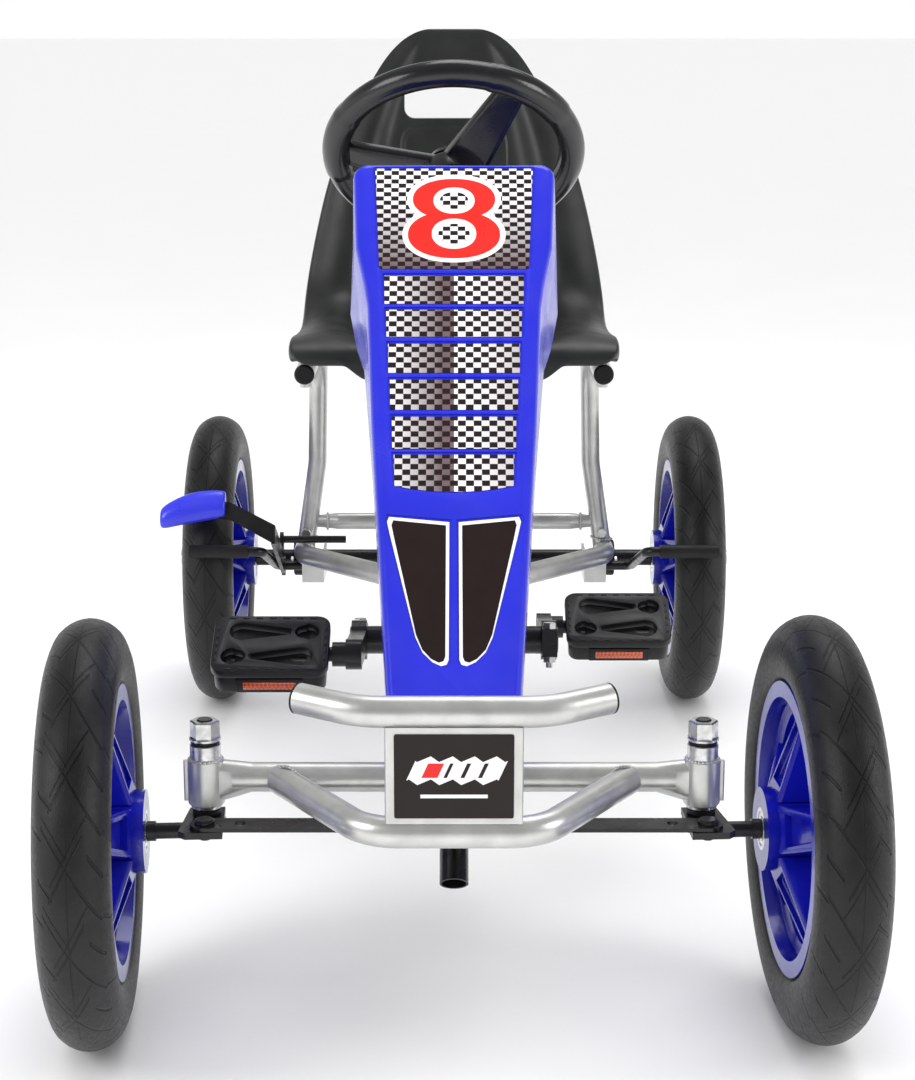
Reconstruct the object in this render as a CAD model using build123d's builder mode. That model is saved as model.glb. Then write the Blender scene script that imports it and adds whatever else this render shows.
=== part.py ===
from build123d import *
import os
from math import asin, atan2, cos, pi, radians, sin

os.makedirs("parts", exist_ok=True)

# Child's pedal go kart. +Z is up and -Y is the way it drives, so +X is the driver's left.
# The origin is on the ground, under the middle of the whole kart. Millimetres.

# ---- driving dimensions -------------------------------------------------------------
WHEELBASE = 850.0
ORIGIN_SHIFT = 3.1          # the turned front wheels reach a little further forward
FRONT_Y = -WHEELBASE / 2 + ORIGIN_SHIFT
REAR_Y = WHEELBASE / 2 + ORIGIN_SHIFT
WHEEL_RADIUS = 158.5        # 12 1/2 x 2 1/4 tyre
AXLE_Z = WHEEL_RADIUS
TYRE_HALF_WIDTH = 27.0
BEAD_RADIUS = 102.3
FLANGE_RADIUS = 109.5
FLANGE_HALF_WIDTH = 23.0
HUB_RADIUS = 31.0
HUB_INBOARD = 40.0          # from the wheel's middle plane to the hub's inner face
HUB_OUTBOARD = 32.0
BEARING_RADIUS = 16.0       # 12 x 32 x 10 ball bearing
BEARING_WIDTH = 10.0
SPINDLE_RADIUS = 6.0
RUNNING_CLEARANCE = 0.05    # radial, between a shaft and what turns on it
FRONT_WHEEL_X = 85.0        # kingpin to the front wheel's middle plane
REAR_WHEEL_X = 262.0
SPOKES = 5

KINGPIN_X = 183.0
KINGPIN_RADIUS = 6.0
STEERING_ARM = 30.0         # kingpin to tie rod bolt
REST_STEER = 3.2            # degrees that the front wheels are turned at rest
TUBE = 22.0                 # frame tube diameter
WALL = 1.6
CROSSBAR_Z = 200.0

COLUMN_TILT = 42.5          # from vertical, top leaning to the rear
COLUMN_FOOT = (0.0, -403.0, 108.0)
COLUMN_LENGTH = 689.0       # foot to the middle of the steering wheel
COLUMN_TUBE = 22.0
WHEEL_RIM_RADIUS = 107.5    # steering wheel, to the middle of the grip
WHEEL_GRIP_RADIUS = 13.0

CRANK_Y = -138.0
CRANK_Z = 224.0
CRANK_LENGTH = 105.0
CRANK_ANGLE = 9.5           # the right arm points forward and this much up
CRANK_AXLE_RADIUS = 12.0
ARM_X = (75.0, 88.0)        # inner and outer face of a crank arm
PEDAL_X = (101.0, 196.0)
PEDAL_DEPTH = 68.0
PEDAL_HEIGHT = 25.0
PEDAL_TILT = 26.0           # front edge down
CHAIN_X = 36.0
CHAIN_PITCH = 12.7
FRONT_TEETH = 24
REAR_TEETH = 14

AXLE_RADIUS = 9.0
BRAKE_Y = 388.0
BRAKE_Z = 159.0
BRAKE_ROD_RADIUS = 5.0
SHOE_Y = 265.0
SHOE_Z = 204.6
SEAT_TUBE = 20.0
RAIL_X = 147.0
RAIL_Z = 406.0
HOOP_Z = 176.0

SIDES = {"left": 1, "right": -1}


def disc(plane, radius, depth, hole=0, mode=Mode.ADD):
    """A round disc or ring standing on the plane."""
    with BuildSketch(plane) as face:
        Circle(radius)
        if hole:
            Circle(hole, mode=Mode.SUBTRACT)
    extrude(face.sketch, amount=depth, mode=mode)


def tube(points, bend_radii, diameter, wall, mode=Mode.ADD):
    """A round tube, or a solid bar where wall is 0, along straight runs joined by bends."""
    with BuildLine() as route:
        if bend_radii:
            FilletPolyline(*points, radius=bend_radii)
        else:
            Polyline(*points)
    with BuildSketch(route.line ^ 0) as ring:
        Circle(diameter / 2)
        if wall:
            Circle(diameter / 2 - wall, mode=Mode.SUBTRACT)
    sweep(ring.sketch, path=route.line, mode=mode)


def hexagon(plane, across_flats, height, hole=0, edge=0.9):
    """A hexagon head or nut standing on the plane, with its top edges broken."""
    with BuildSketch(plane) as face:
        RegularPolygon(across_flats / 2, 6, major_radius=False)
        if hole:
            Circle(hole, mode=Mode.SUBTRACT)
    extrude(face.sketch, amount=height)
    top = faces(Select.LAST).sort_by(Axis(plane.origin, plane.z_dir))[-1]
    chamfer(top.outer_wire().edges(), edge)


def bolt(plane, across_flats, head, radius, length):
    """A hexagon bolt: its head stands on the plane and its shank goes down through it."""
    disc(plane.offset(-length), radius, length)
    hexagon(plane, across_flats, head, edge=0.6)


# ---- steering geometry --------------------------------------------------------------
column_up = Vector(0, sin(radians(COLUMN_TILT)), cos(radians(COLUMN_TILT)))
column_front = Vector(0, -cos(radians(COLUMN_TILT)), sin(radians(COLUMN_TILT)))
column_foot = Vector(*COLUMN_FOOT)


def column_plane(along):
    """A plane square to the steering column; its x axis is the kart's X."""
    return Plane(origin=column_foot + column_up * along, x_dir=(1, 0, 0), z_dir=column_up)


def steered(side, out, forward=0.0):
    """A point beside a kingpin, turned with the front wheel: out from the kart, forward."""
    turn = radians(REST_STEER)
    x = side * out
    y = -forward
    return (side * KINGPIN_X + x * cos(turn) - y * sin(turn), FRONT_Y + x * sin(turn) + y * cos(turn))


# ---- wheels -------------------------------------------------------------------------
# A wheel is made once, lying on the XY plane with its axle along +Z and its outer side up.
WHEEL_SECTION = Plane.XZ


def wheel_plane(end, side):
    """Where a wheel goes: z along the axle and away from the kart, x straight up."""
    if end == "rear":
        return Plane(origin=(side * REAR_WHEEL_X, REAR_Y, AXLE_Z), x_dir=(0, 0, 1), z_dir=(side, 0, 0))
    x, y = steered(side, FRONT_WHEEL_X)
    turn = radians(REST_STEER)
    return Plane(origin=(x, y, AXLE_Z), x_dir=(0, 0, 1), z_dir=(side * cos(turn), side * sin(turn), 0))


def spoke_block(hub, tip, corner):
    """One spoke body, lofted from its root at the hub to its tip at the rim.
    hub and tip are (radius, tangential width, lowest, highest along the axle)."""
    with BuildPart() as block:
        for radius, width, low, high in (hub, tip):
            with BuildSketch(Plane(origin=(radius, 0, 0), x_dir=(0, 0, 1), z_dir=(1, 0, 0))):
                with Locations(((low + high) / 2, 0)):
                    RectangleRounded(high - low, width, corner)
        loft()
    return block.part


with BuildPart() as tyre_master:
    with BuildSketch(WHEEL_SECTION):
        with BuildLine():
            # the side walls rise inside the rim's flanges and then swell out over them
            Polyline((BEAD_RADIUS, -17.5), (110.0, -19.0), (112.0, -22.8))
            Spline(
                (112.0, -22.8), (119, -25.8), (131, -TYRE_HALF_WIDTH), (149, -20.5),
                (WHEEL_RADIUS, 0), (149, 20.5), (131, TYRE_HALF_WIDTH), (119, 25.8), (112.0, 22.8),
            )
            Polyline((112.0, 22.8), (110.0, 19.0), (BEAD_RADIUS, 17.5), (BEAD_RADIUS, 12.0), (106, 12.0))
            Spline(
                (106, 12.0), (118, 21.4), (131, 22.6), (145, 17.0), (152.5, 0),
                (145, -17.0), (131, -22.6), (118, -21.4), (106, -12.0),
            )
            Polyline((106, -12.0), (BEAD_RADIUS, -12.0), (BEAD_RADIUS, -17.5))
        make_face()
    revolve(axis=Axis.Z)

spoke_body = spoke_block((27, 36, -32, 25), (91, 22, -12, 12), 3.0)
spoke_outer_channel = spoke_block((36, 25, 18.5, 40), (84, 11, 8.5, 30), 2.0)
spoke_inner_channel = spoke_block((36, 25, -45, -24), (84, 11, -30, -8.5), 2.0)

with BuildPart() as rim_master:
    with BuildSketch(WHEEL_SECTION):
        with BuildLine():
            Polyline(
                (FLANGE_RADIUS, FLANGE_HALF_WIDTH), (FLANGE_RADIUS, 19.6), (102.0, 18.0), (100.5, 9.0),
                (93.0, 6.0), (93.0, -6.0), (100.5, -9.0), (102.0, -18.0), (FLANGE_RADIUS, -19.6),
                (FLANGE_RADIUS, -FLANGE_HALF_WIDTH), (97.5, -FLANGE_HALF_WIDTH), (95.5, -12.0),
                (88.5, -8.5), (88.5, 8.5), (95.5, 12.0), (97.5, FLANGE_HALF_WIDTH), close=True,
            )
        make_face()
    revolve(axis=Axis.Z)
    with BuildSketch(Plane.XY.offset(-HUB_INBOARD)):
        Circle(HUB_RADIUS)
    extrude(amount=HUB_INBOARD + HUB_OUTBOARD)
    with PolarLocations(0, SPOKES):
        add(spoke_body)
    with PolarLocations(0, SPOKES):
        add(spoke_outer_channel, mode=Mode.SUBTRACT)
        add(spoke_inner_channel, mode=Mode.SUBTRACT)

hub_length = HUB_INBOARD + HUB_OUTBOARD
with BuildPart() as free_rim_master:
    add(rim_master.part)
    disc(Plane.XY.offset(-HUB_INBOARD), BEARING_RADIUS, BEARING_WIDTH, mode=Mode.SUBTRACT)
    disc(Plane.XY.offset(HUB_OUTBOARD - BEARING_WIDTH), BEARING_RADIUS, BEARING_WIDTH, mode=Mode.SUBTRACT)
    disc(Plane.XY.offset(-HUB_INBOARD), BEARING_RADIUS - 4, hub_length, mode=Mode.SUBTRACT)

# The driven wheel has a plain bore and a slot across its hub for the axle's drive pin.
DRIVE_PIN = 6.0
DRIVE_PIN_LENGTH = 40.0
with BuildPart() as driven_rim_master:
    add(rim_master.part)
    disc(Plane.XY.offset(-HUB_INBOARD), SPINDLE_RADIUS, hub_length, mode=Mode.SUBTRACT)
    with BuildSketch(Plane.XY.offset(-HUB_INBOARD)):
        Rectangle(DRIVE_PIN_LENGTH + 2, DRIVE_PIN)
    extrude(amount=DRIVE_PIN, mode=Mode.SUBTRACT)

with BuildPart() as bearings_master:
    for low in (-HUB_INBOARD, HUB_OUTBOARD - BEARING_WIDTH):
        disc(Plane.XY.offset(low), BEARING_RADIUS, BEARING_WIDTH, SPINDLE_RADIUS + RUNNING_CLEARANCE)
    # the seal of each bearing sits a little below its rings
    for low in (-HUB_INBOARD, HUB_OUTBOARD - 0.6):
        disc(Plane.XY.offset(low), 13.0, 0.6, 9.2, mode=Mode.SUBTRACT)

for end in ("front", "rear"):
    for name, side in SIDES.items():
        place = wheel_plane(end, side).location
        driven = end == "rear" and name == "right"
        with BuildPart() as tyre:
            add(tyre_master.part.moved(place))
        tyre.part.label = f"tyre_{end}_{name}"
        export_step(tyre.part, f"parts/tyre_{end}_{name}.step")
        with BuildPart() as rim:
            add((driven_rim_master if driven else free_rim_master).part.moved(place))
        rim.part.label = f"rim_{end}_{name}"
        export_step(rim.part, f"parts/rim_{end}_{name}.step")
        if not driven:
            with BuildPart() as wheel_bearings:
                add(bearings_master.part.moved(place))
            wheel_bearings.part.label = f"wheel_bearings_{end}_{name}"
            export_step(wheel_bearings.part, f"parts/wheel_bearings_{end}_{name}.step")

# ---- front frame --------------------------------------------------------------------
BARREL_RADIUS = 13.5        # the pressed fitting that holds each kingpin sleeve
BARREL_LOW = 181.0
BARREL_HIGH = 214.0
SLEEVE_RADIUS = 11.3
SLEEVE_LOW = 177.0
SLEEVE_HIGH = 226.0
BUMPER_Y = FRONT_Y - 107.0
LOWER_BUMPER_Z = 197.5
UPPER_BUMPER_Z = 284.7
PLATE_BOX_HALF = 47.5
PLATE_BOX_DEPTH = 18.0
PLATE_BOX_FRONT = BUMPER_Y - 8.0
SHEET = 1.5

with BuildPart() as crossbar_bar:
    tube([(-KINGPIN_X + 20, FRONT_Y, CROSSBAR_Z), (KINGPIN_X - 20, FRONT_Y, CROSSBAR_Z)], 0, TUBE, 0)

with BuildPart() as front_crossbar:
    add(crossbar_bar.part)
    for side in SIDES.values():
        # the end of the tube is pressed out to a tall flat oval that wraps the sleeve
        with BuildSketch(Plane(origin=(side * (KINGPIN_X - 34), FRONT_Y, CROSSBAR_Z), x_dir=(0, 1, 0),
                               z_dir=(side, 0, 0))):
            Circle(TUBE / 2)
        with BuildSketch(Plane(origin=(side * (KINGPIN_X - 10), FRONT_Y, (BARREL_LOW + BARREL_HIGH) / 2),
                               x_dir=(0, 1, 0), z_dir=(side, 0, 0))):
            RectangleRounded(17.0, BARREL_HIGH - BARREL_LOW - 1, 8.0)
        loft()
        with BuildSketch(Plane.XY.offset(BARREL_LOW)):
            with Locations((side * KINGPIN_X, FRONT_Y)):
                Circle(BARREL_RADIUS)
        extrude(amount=BARREL_HIGH - BARREL_LOW)
        # the seam left by the press stands proud at the outer end
        with BuildSketch(Plane.XY.offset(BARREL_LOW + 1)):
            with Locations((side * (KINGPIN_X + BARREL_RADIUS), FRONT_Y)):
                RectangleRounded(6.0, 3.4, 1.2)
        extrude(amount=BARREL_HIGH - BARREL_LOW - 2)
    with Locations((0, FRONT_Y, CROSSBAR_Z)):
        Cylinder(TUBE / 2 - WALL, 2 * KINGPIN_X - 60, rotation=(0, 90, 0), mode=Mode.SUBTRACT)
    with Locations(*[(side * KINGPIN_X, FRONT_Y, 200) for side in SIDES.values()]):
        Cylinder(SLEEVE_RADIUS, 100, mode=Mode.SUBTRACT)
front_crossbar.part.label = "front_crossbar"
export_step(front_crossbar.part, "parts/front_crossbar.step")

with BuildPart() as kingpin_sleeves:
    with BuildSketch(Plane.XY.offset(SLEEVE_LOW)):
        with Locations(*[(side * KINGPIN_X, FRONT_Y) for side in SIDES.values()]):
            Circle(SLEEVE_RADIUS)
            Circle(KINGPIN_RADIUS + RUNNING_CLEARANCE, mode=Mode.SUBTRACT)
    extrude(amount=SLEEVE_HIGH - SLEEVE_LOW)
    rims_of_sleeves = kingpin_sleeves.edges().filter_by(GeomType.CIRCLE)
    chamfer(rims_of_sleeves.filter_by(lambda e: e.radius > SLEEVE_RADIUS - 0.1), 0.6)
kingpin_sleeves.part.label = "kingpin_sleeves"
export_step(kingpin_sleeves.part, "parts/kingpin_sleeves.step")

with BuildPart() as lower_bumper:
    lower_route = [
        (-129, FRONT_Y - 3, CROSSBAR_Z - 0.5), (-60, BUMPER_Y, LOWER_BUMPER_Z),
        (60, BUMPER_Y, LOWER_BUMPER_Z), (129, FRONT_Y - 3, CROSSBAR_Z - 0.5),
    ]
    tube(lower_route, 42.0, TUBE, WALL)
    add(crossbar_bar.part, mode=Mode.SUBTRACT)
with BuildPart() as bumper_bars:
    tube(lower_route, 42.0, TUBE, 0)
lower_bumper.part.label = "lower_bumper"
export_step(lower_bumper.part, "parts/lower_bumper.step")

UPPER_ENDS = [(side * 107.0, FRONT_Y - 82.0, UPPER_BUMPER_Z + 1.5) for side in (-1, 1)]
with BuildPart() as upper_bumper:
    upper_route = [
        UPPER_ENDS[0], (-64, BUMPER_Y, UPPER_BUMPER_Z), (64, BUMPER_Y, UPPER_BUMPER_Z), UPPER_ENDS[1],
    ]
    tube(upper_route, 60.0, TUBE, WALL)
with bumper_bars:
    tube(upper_route, 60.0, TUBE, 0)
upper_bumper.part.label = "upper_bumper"
export_step(upper_bumper.part, "parts/upper_bumper.step")

BOX_LOW = LOWER_BUMPER_Z + 9.0
BOX_HIGH = UPPER_BUMPER_Z - 9.0
WEB_X = 16.0
with BuildPart() as number_plate_box:
    # a shallow folded tray with its open side to the rear
    with BuildSketch(Plane.XZ.offset(-PLATE_BOX_FRONT - PLATE_BOX_DEPTH)):
        with Locations((0, (BOX_LOW + BOX_HIGH) / 2)):
            Rectangle(2 * PLATE_BOX_HALF, BOX_HIGH - BOX_LOW)
    extrude(amount=PLATE_BOX_DEPTH)
    fillet(number_plate_box.edges().filter_by(Axis.Z).group_by(Axis.Y)[0], 2.0)
    with BuildSketch(Plane.XZ.offset(-PLATE_BOX_FRONT - PLATE_BOX_DEPTH)):
        with Locations((0, (BOX_LOW + BOX_HIGH) / 2)):
            Rectangle(2 * (PLATE_BOX_HALF - SHEET), 200)
    extrude(amount=PLATE_BOX_DEPTH - SHEET, mode=Mode.SUBTRACT)
    # two webs carry the tray and both bumpers from the crossbar
    for side in SIDES.values():
        with BuildSketch(Plane.YZ.offset(side * WEB_X - 1.5)):
            Polygon(
                (PLATE_BOX_FRONT + SHEET, BOX_LOW + 2), (PLATE_BOX_FRONT + SHEET, BOX_HIGH - 2),
                (BUMPER_Y + 24, BOX_HIGH - 12), (FRONT_Y - 2, CROSSBAR_Z + 14), (FRONT_Y - 2, CROSSBAR_Z - 4),
                align=None,
            )
        extrude(amount=3.0)
    add(bumper_bars.part, mode=Mode.SUBTRACT)
    add(crossbar_bar.part, mode=Mode.SUBTRACT)
number_plate_box.part.label = "number_plate_box"
export_step(number_plate_box.part, "parts/number_plate_box.step")

with BuildPart() as number_plate:
    with BuildSketch(Plane.XZ.offset(-PLATE_BOX_FRONT)):
        with Locations((0, (LOWER_BUMPER_Z + UPPER_BUMPER_Z) / 2)):
            RectangleRounded(82.0, 60.0, 1.5)
    extrude(amount=1.2)
number_plate.part.label = "number_plate"
export_step(number_plate.part, "parts/number_plate.step")

# ---- knuckles: plate, kingpin and spindle are one weldment ---------------------------
ARM_PLATE_TOP = 172.0
ARM_PLATE = 5.0
KINGPIN_TOP = 245.0
NUT_LOW = 231.0
COLLAR_OUT = 45.0           # the spindle's shoulder, beside the hub
HUB_FACE_OUT = FRONT_WHEEL_X - HUB_INBOARD
SPINDLE_END = FRONT_WHEEL_X + HUB_OUTBOARD + 12.0

for name, side in SIDES.items():
    with BuildPart() as stub_axle:
        plate_outline = [
            steered(side, -13, -12), steered(side, 13, -12), steered(side, 19, STEERING_ARM + 7),
            steered(side, 14, STEERING_ARM + 12), steered(side, -13, STEERING_ARM + 12),
        ]
        with BuildSketch(Plane.XY.offset(ARM_PLATE_TOP - ARM_PLATE)):
            Polygon(*plate_outline, align=None)
            with Locations(steered(side, 0, STEERING_ARM)):
                Circle(4.1, mode=Mode.SUBTRACT)
        extrude(amount=ARM_PLATE)
        with BuildSketch(Plane.XY.offset(ARM_PLATE_TOP - ARM_PLATE)):
            with Locations((side * KINGPIN_X, FRONT_Y)):
                Circle(KINGPIN_RADIUS)
        extrude(amount=KINGPIN_TOP - ARM_PLATE_TOP + ARM_PLATE)
        spindle_route = [
            (*steered(side, -14), 163.8), (*steered(side, 12), AXLE_Z), (*steered(side, SPINDLE_END), AXLE_Z),
        ]
        tube(spindle_route, 24.0, 2 * SPINDLE_RADIUS, 0)
        collar = [(*steered(side, HUB_FACE_OUT - 7), AXLE_Z), (*steered(side, HUB_FACE_OUT - 0.4), AXLE_Z)]
        tube(collar, 0, 15.0, 0)
        chamfer(stub_axle.edges().filter_by(GeomType.CIRCLE).sort_by(Axis.Z)[-1], 1.0)
    stub_axle.part.label = f"stub_axle_{name}"
    export_step(stub_axle.part, f"parts/stub_axle_{name}.step")

    # kingpin nut with its washer, and the axle nut with its washer
    outer = FRONT_WHEEL_X + HUB_OUTBOARD
    out_x, out_y = steered(side, outer + 2.0)
    washer_x, washer_y = steered(side, outer + 0.3)
    turn = radians(REST_STEER)
    outward = (side * cos(turn), side * sin(turn), 0)
    top = Plane(origin=(side * KINGPIN_X, FRONT_Y, NUT_LOW))
    with BuildPart() as knuckle_nuts:
        hexagon(top, 19.0, 13.0, KINGPIN_RADIUS)
        hexagon(Plane(origin=(out_x, out_y, AXLE_Z), x_dir=(0, 0, 1), z_dir=outward), 19.0, 9.5, SPINDLE_RADIUS)
        disc(top.offset(-1.6), 11.6, 1.6, KINGPIN_RADIUS)
        washer = Plane(origin=(washer_x, washer_y, AXLE_Z), x_dir=(0, 0, 1), z_dir=outward)
        disc(washer, 11.0, 1.7, SPINDLE_RADIUS)
    knuckle_nuts.part.label = f"knuckle_nuts_{name}"
    export_step(knuckle_nuts.part, f"parts/knuckle_nuts_{name}.step")

    with BuildPart() as kingpin_seals:
        for low, high in ((ARM_PLATE_TOP, SLEEVE_LOW - 0.2), (SLEEVE_HIGH + 0.2, NUT_LOW - 1.6)):
            disc(Plane(origin=(side * KINGPIN_X, FRONT_Y, low)), 10.6, high - low, KINGPIN_RADIUS)
        chamfer(kingpin_seals.edges().filter_by(GeomType.CIRCLE).filter_by(lambda e: e.radius > 10), 0.8)
    kingpin_seals.part.label = f"kingpin_seals_{name}"
    export_step(kingpin_seals.part, f"parts/kingpin_seals_{name}.step")

# ---- tie rod ------------------------------------------------------------------------
TIE_ROD_WIDTH = 22.0
TIE_ROD_THICKNESS = 3.0
SPARE_HOLE = 26.0           # from each tie rod bolt, inboard
PIN_ALONG = 57.2            # where the column's pin crosses the tongue, along the column
tie_x, tie_y = steered(0, 0, STEERING_ARM)
tongue_z = ARM_PLATE_TOP - TIE_ROD_THICKNESS

with BuildPart() as tie_rod:
    with BuildSketch(Plane.XY.offset(ARM_PLATE_TOP)):
        with Locations((tie_x, tie_y)):
            SlotCenterToCenter(2 * KINGPIN_X, TIE_ROD_WIDTH)
        for side in SIDES.values():
            with Locations((tie_x + side * KINGPIN_X, tie_y), (tie_x + side * (KINGPIN_X - SPARE_HOLE), tie_y)):
                Circle(4.1, mode=Mode.SUBTRACT)
    extrude(amount=TIE_ROD_THICKNESS)
    # the slotted tongue that the column's pin moves sideways
    pin_x, pin_y = tie_x, tie_y + 65.4
    with BuildSketch(Plane.XY.offset(tongue_z)):
        with Locations((tie_x, tie_y + 33.0)):
            RectangleRounded(30.0, 92.0, 6.0)
        with Locations((pin_x, pin_y)):
            SlotOverall(16.0, 8.9, rotation=90, mode=Mode.SUBTRACT)
    extrude(amount=TIE_ROD_THICKNESS)
tie_rod.part.label = "tie_rod"
export_step(tie_rod.part, "parts/tie_rod.step")

with BuildPart() as tie_rod_bolts:
    for side in SIDES.values():
        spot = Plane(origin=(tie_x + side * KINGPIN_X, tie_y, ARM_PLATE_TOP + TIE_ROD_THICKNESS))
        shank = ARM_PLATE + TIE_ROD_THICKNESS + 4.0
        disc(spot.offset(-shank), 4.0, shank + 0.5)
        disc(spot, 7.5, 3.6)
    chamfer(tie_rod_bolts.faces().filter_by(Axis.Z).group_by(Axis.Z)[-1].edges(), 1.6)
tie_rod_bolts.part.label = "tie_rod_bolts"
export_step(tie_rod_bolts.part, "parts/tie_rod_bolts.step")

# ---- steering column ----------------------------------------------------------------
PITMAN_PLATE = 4.0
PITMAN_DROP = 14.0          # pitman plate to tongue, along the column
column_home = Plane(origin=column_foot, x_dir=(1, 0, 0), z_dir=column_up)
# sketches for the column are made on its own plane, with -y pointing forward, and turned as at rest
column_base = column_home.location * Location((0, 0, 0), (0, 0, REST_STEER))


def on_column(along):
    return Plane(column_base * Location((0, 0, along)))


with BuildPart() as steering_column:
    with BuildSketch(on_column(0)):
        Circle(COLUMN_TUBE / 2)
    extrude(amount=COLUMN_LENGTH - 12)
    with BuildSketch(on_column(PIN_ALONG - PITMAN_DROP - PITMAN_PLATE)):
        SlotOverall(2 * (STEERING_ARM + 8), 17.0, rotation=90)
        with Locations((0, 30)):
            Rectangle(80, 60, mode=Mode.SUBTRACT)
        Circle(COLUMN_TUBE / 2 + 4)
    extrude(amount=PITMAN_PLATE)
    with BuildSketch(on_column(PIN_ALONG - PITMAN_DROP)):
        with Locations((0, -STEERING_ARM)):
            Circle(4.0)
    extrude(amount=PITMAN_DROP + 6.0)
    with BuildSketch(on_column(0)):
        Circle(COLUMN_TUBE / 2 - WALL)
    extrude(amount=COLUMN_LENGTH - 12, mode=Mode.SUBTRACT)
steering_column.part.label = "steering_column"
export_step(steering_column.part, "parts/steering_column.step")

HUB_ALONG = COLUMN_LENGTH
SPOKE_ANGLES = (61.0, 181.0, 301.0)
SPOKE_ROOT = 46.0
SPOKE_RISE = 15.9           # the spokes climb from the hub to the ring
RING_RISE = 14.0
RING_ALONG = HUB_ALONG + RING_RISE
with BuildPart() as steering_wheel:
    with BuildSketch(Plane(column_home.location * Location((0, 0, RING_ALONG), (90, 0, 0)))):
        with Locations((WHEEL_RIM_RADIUS, 0)):
            Ellipse(WHEEL_GRIP_RADIUS, WHEEL_GRIP_RADIUS - 1)
    revolve(axis=Axis(column_foot + column_up * RING_ALONG, column_up))
    with BuildSketch(column_plane(HUB_ALONG - 24)):
        Circle(31)
    extrude(amount=22)
    for angle in SPOKE_ANGLES:
        root = column_plane(HUB_ALONG - 19).location * Rotation(0, 0, angle) * Rotation(0, -SPOKE_RISE, 0)
        with BuildSketch(Plane(root)):
            Trapezoid(SPOKE_ROOT, 106.0, 84, rotation=-90, align=(Align.CENTER, Align.MIN))
        extrude(amount=9)
    with BuildSketch(column_plane(HUB_ALONG - 24)):
        Circle(COLUMN_TUBE / 2)
    extrude(amount=12, mode=Mode.SUBTRACT)
steering_wheel.part.label = "steering_wheel"
export_step(steering_wheel.part, "parts/steering_wheel.step")

with BuildPart() as steering_hub_cap:
    with BuildSketch(column_plane(HUB_ALONG - 2)):
        Circle(26)
    extrude(amount=6, taper=25)
steering_hub_cap.part.label = "steering_hub_cap"
export_step(steering_hub_cap.part, "parts/steering_hub_cap.step")

# ---- main beam, rear hoop and seat tubes --------------------------------------------
BEAM_WIDTH = 40.0
BEAM_HEIGHT = 40.0
BEAM_REAR_Y = 219.0
HOOP_X = 165.0
HOOP_CORNER_Y = 369.0
HOOP_END_Y = 404.0
HOOP_APEX_X = 14.0
SLEEVE_OUTSIDE = 14.5       # outer radius of the steering column's two bearing sleeves
LOWER_SLEEVE = (78.0, 162.0)    # from and to, along the column
UPPER_SLEEVE = (482.0, 532.0)
HOUSING_RADIUS = 18.0
HOUSING_HALF = 31.0
STAY_Y = -60.0
SEAT_BOLT_Y = (190.0, 340.0)
SEAT_BOLT_RADIUS = 3.0
RAIL_FRONT_Y = 172.0

beam_start = Vector(0, FRONT_Y, CROSSBAR_Z)
beam_end = Vector(0, BEAM_REAR_Y, HOOP_Z)
beam_plane = Plane(origin=beam_start, x_dir=(1, 0, 0), z_dir=beam_end - beam_start)
beam_length = (beam_end - beam_start).length

hoop_route = [
    (-HOOP_X, HOOP_END_Y, HOOP_Z), (-HOOP_X, HOOP_CORNER_Y, HOOP_Z), (-HOOP_APEX_X, BEAM_REAR_Y, HOOP_Z),
    (HOOP_APEX_X, BEAM_REAR_Y, HOOP_Z), (HOOP_X, HOOP_CORNER_Y, HOOP_Z), (HOOP_X, HOOP_END_Y, HOOP_Z),
]
HOOP_BENDS = [30.0, 24.0, 24.0, 30.0]

with BuildPart() as hoop_bar:
    tube(hoop_route, HOOP_BENDS, TUBE, 0)

with BuildPart() as rear_hoop:
    tube(hoop_route, HOOP_BENDS, TUBE, WALL)
rear_hoop.part.label = "rear_hoop"
export_step(rear_hoop.part, "parts/rear_hoop.step")

with BuildPart() as beam_bar:
    with BuildSketch(beam_plane):
        RectangleRounded(BEAM_WIDTH, BEAM_HEIGHT, 5.0)
    extrude(amount=beam_length)

with BuildPart() as housing_bar:
    disc(Plane.YZ.offset(-HOUSING_HALF) * Pos(CRANK_Y, CRANK_Z, 0), HOUSING_RADIUS, 2 * HOUSING_HALF)

with BuildPart() as sleeve_bars:
    for low, high in (LOWER_SLEEVE, UPPER_SLEEVE):
        disc(column_plane(low), SLEEVE_OUTSIDE, high - low)

with BuildPart() as main_beam:
    add(beam_bar.part)
    with BuildSketch(beam_plane):
        RectangleRounded(BEAM_WIDTH - 4, BEAM_HEIGHT - 4, 3.0)
    extrude(amount=beam_length, mode=Mode.SUBTRACT)
    for joined in (crossbar_bar, hoop_bar, housing_bar, sleeve_bars):
        add(joined.part, mode=Mode.SUBTRACT)
main_beam.part.label = "main_beam"
export_step(main_beam.part, "parts/main_beam.step")

with BuildPart() as column_bearings:
    for low, high in (LOWER_SLEEVE, UPPER_SLEEVE):
        disc(column_plane(low), SLEEVE_OUTSIDE, high - low, COLUMN_TUBE / 2 + RUNNING_CLEARANCE)
column_bearings.part.label = "column_bearings"
export_step(column_bearings.part, "parts/column_bearings.step")

with BuildPart() as column_stay:
    stay_top = COLUMN_FOOT[2] + (STAY_Y - COLUMN_FOOT[1]) / column_up.Y * column_up.Z
    tube([(0, STAY_Y, CROSSBAR_Z - 8), (0, STAY_Y, stay_top)], 0, TUBE, WALL)
    add(beam_bar.part, mode=Mode.SUBTRACT)
    add(sleeve_bars.part, mode=Mode.SUBTRACT)
    disc(column_plane(UPPER_SLEEVE[0] - 60), COLUMN_TUBE / 2 + 2, 200, mode=Mode.SUBTRACT)
column_stay.part.label = "column_stay"
export_step(column_stay.part, "parts/column_stay.step")

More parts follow.
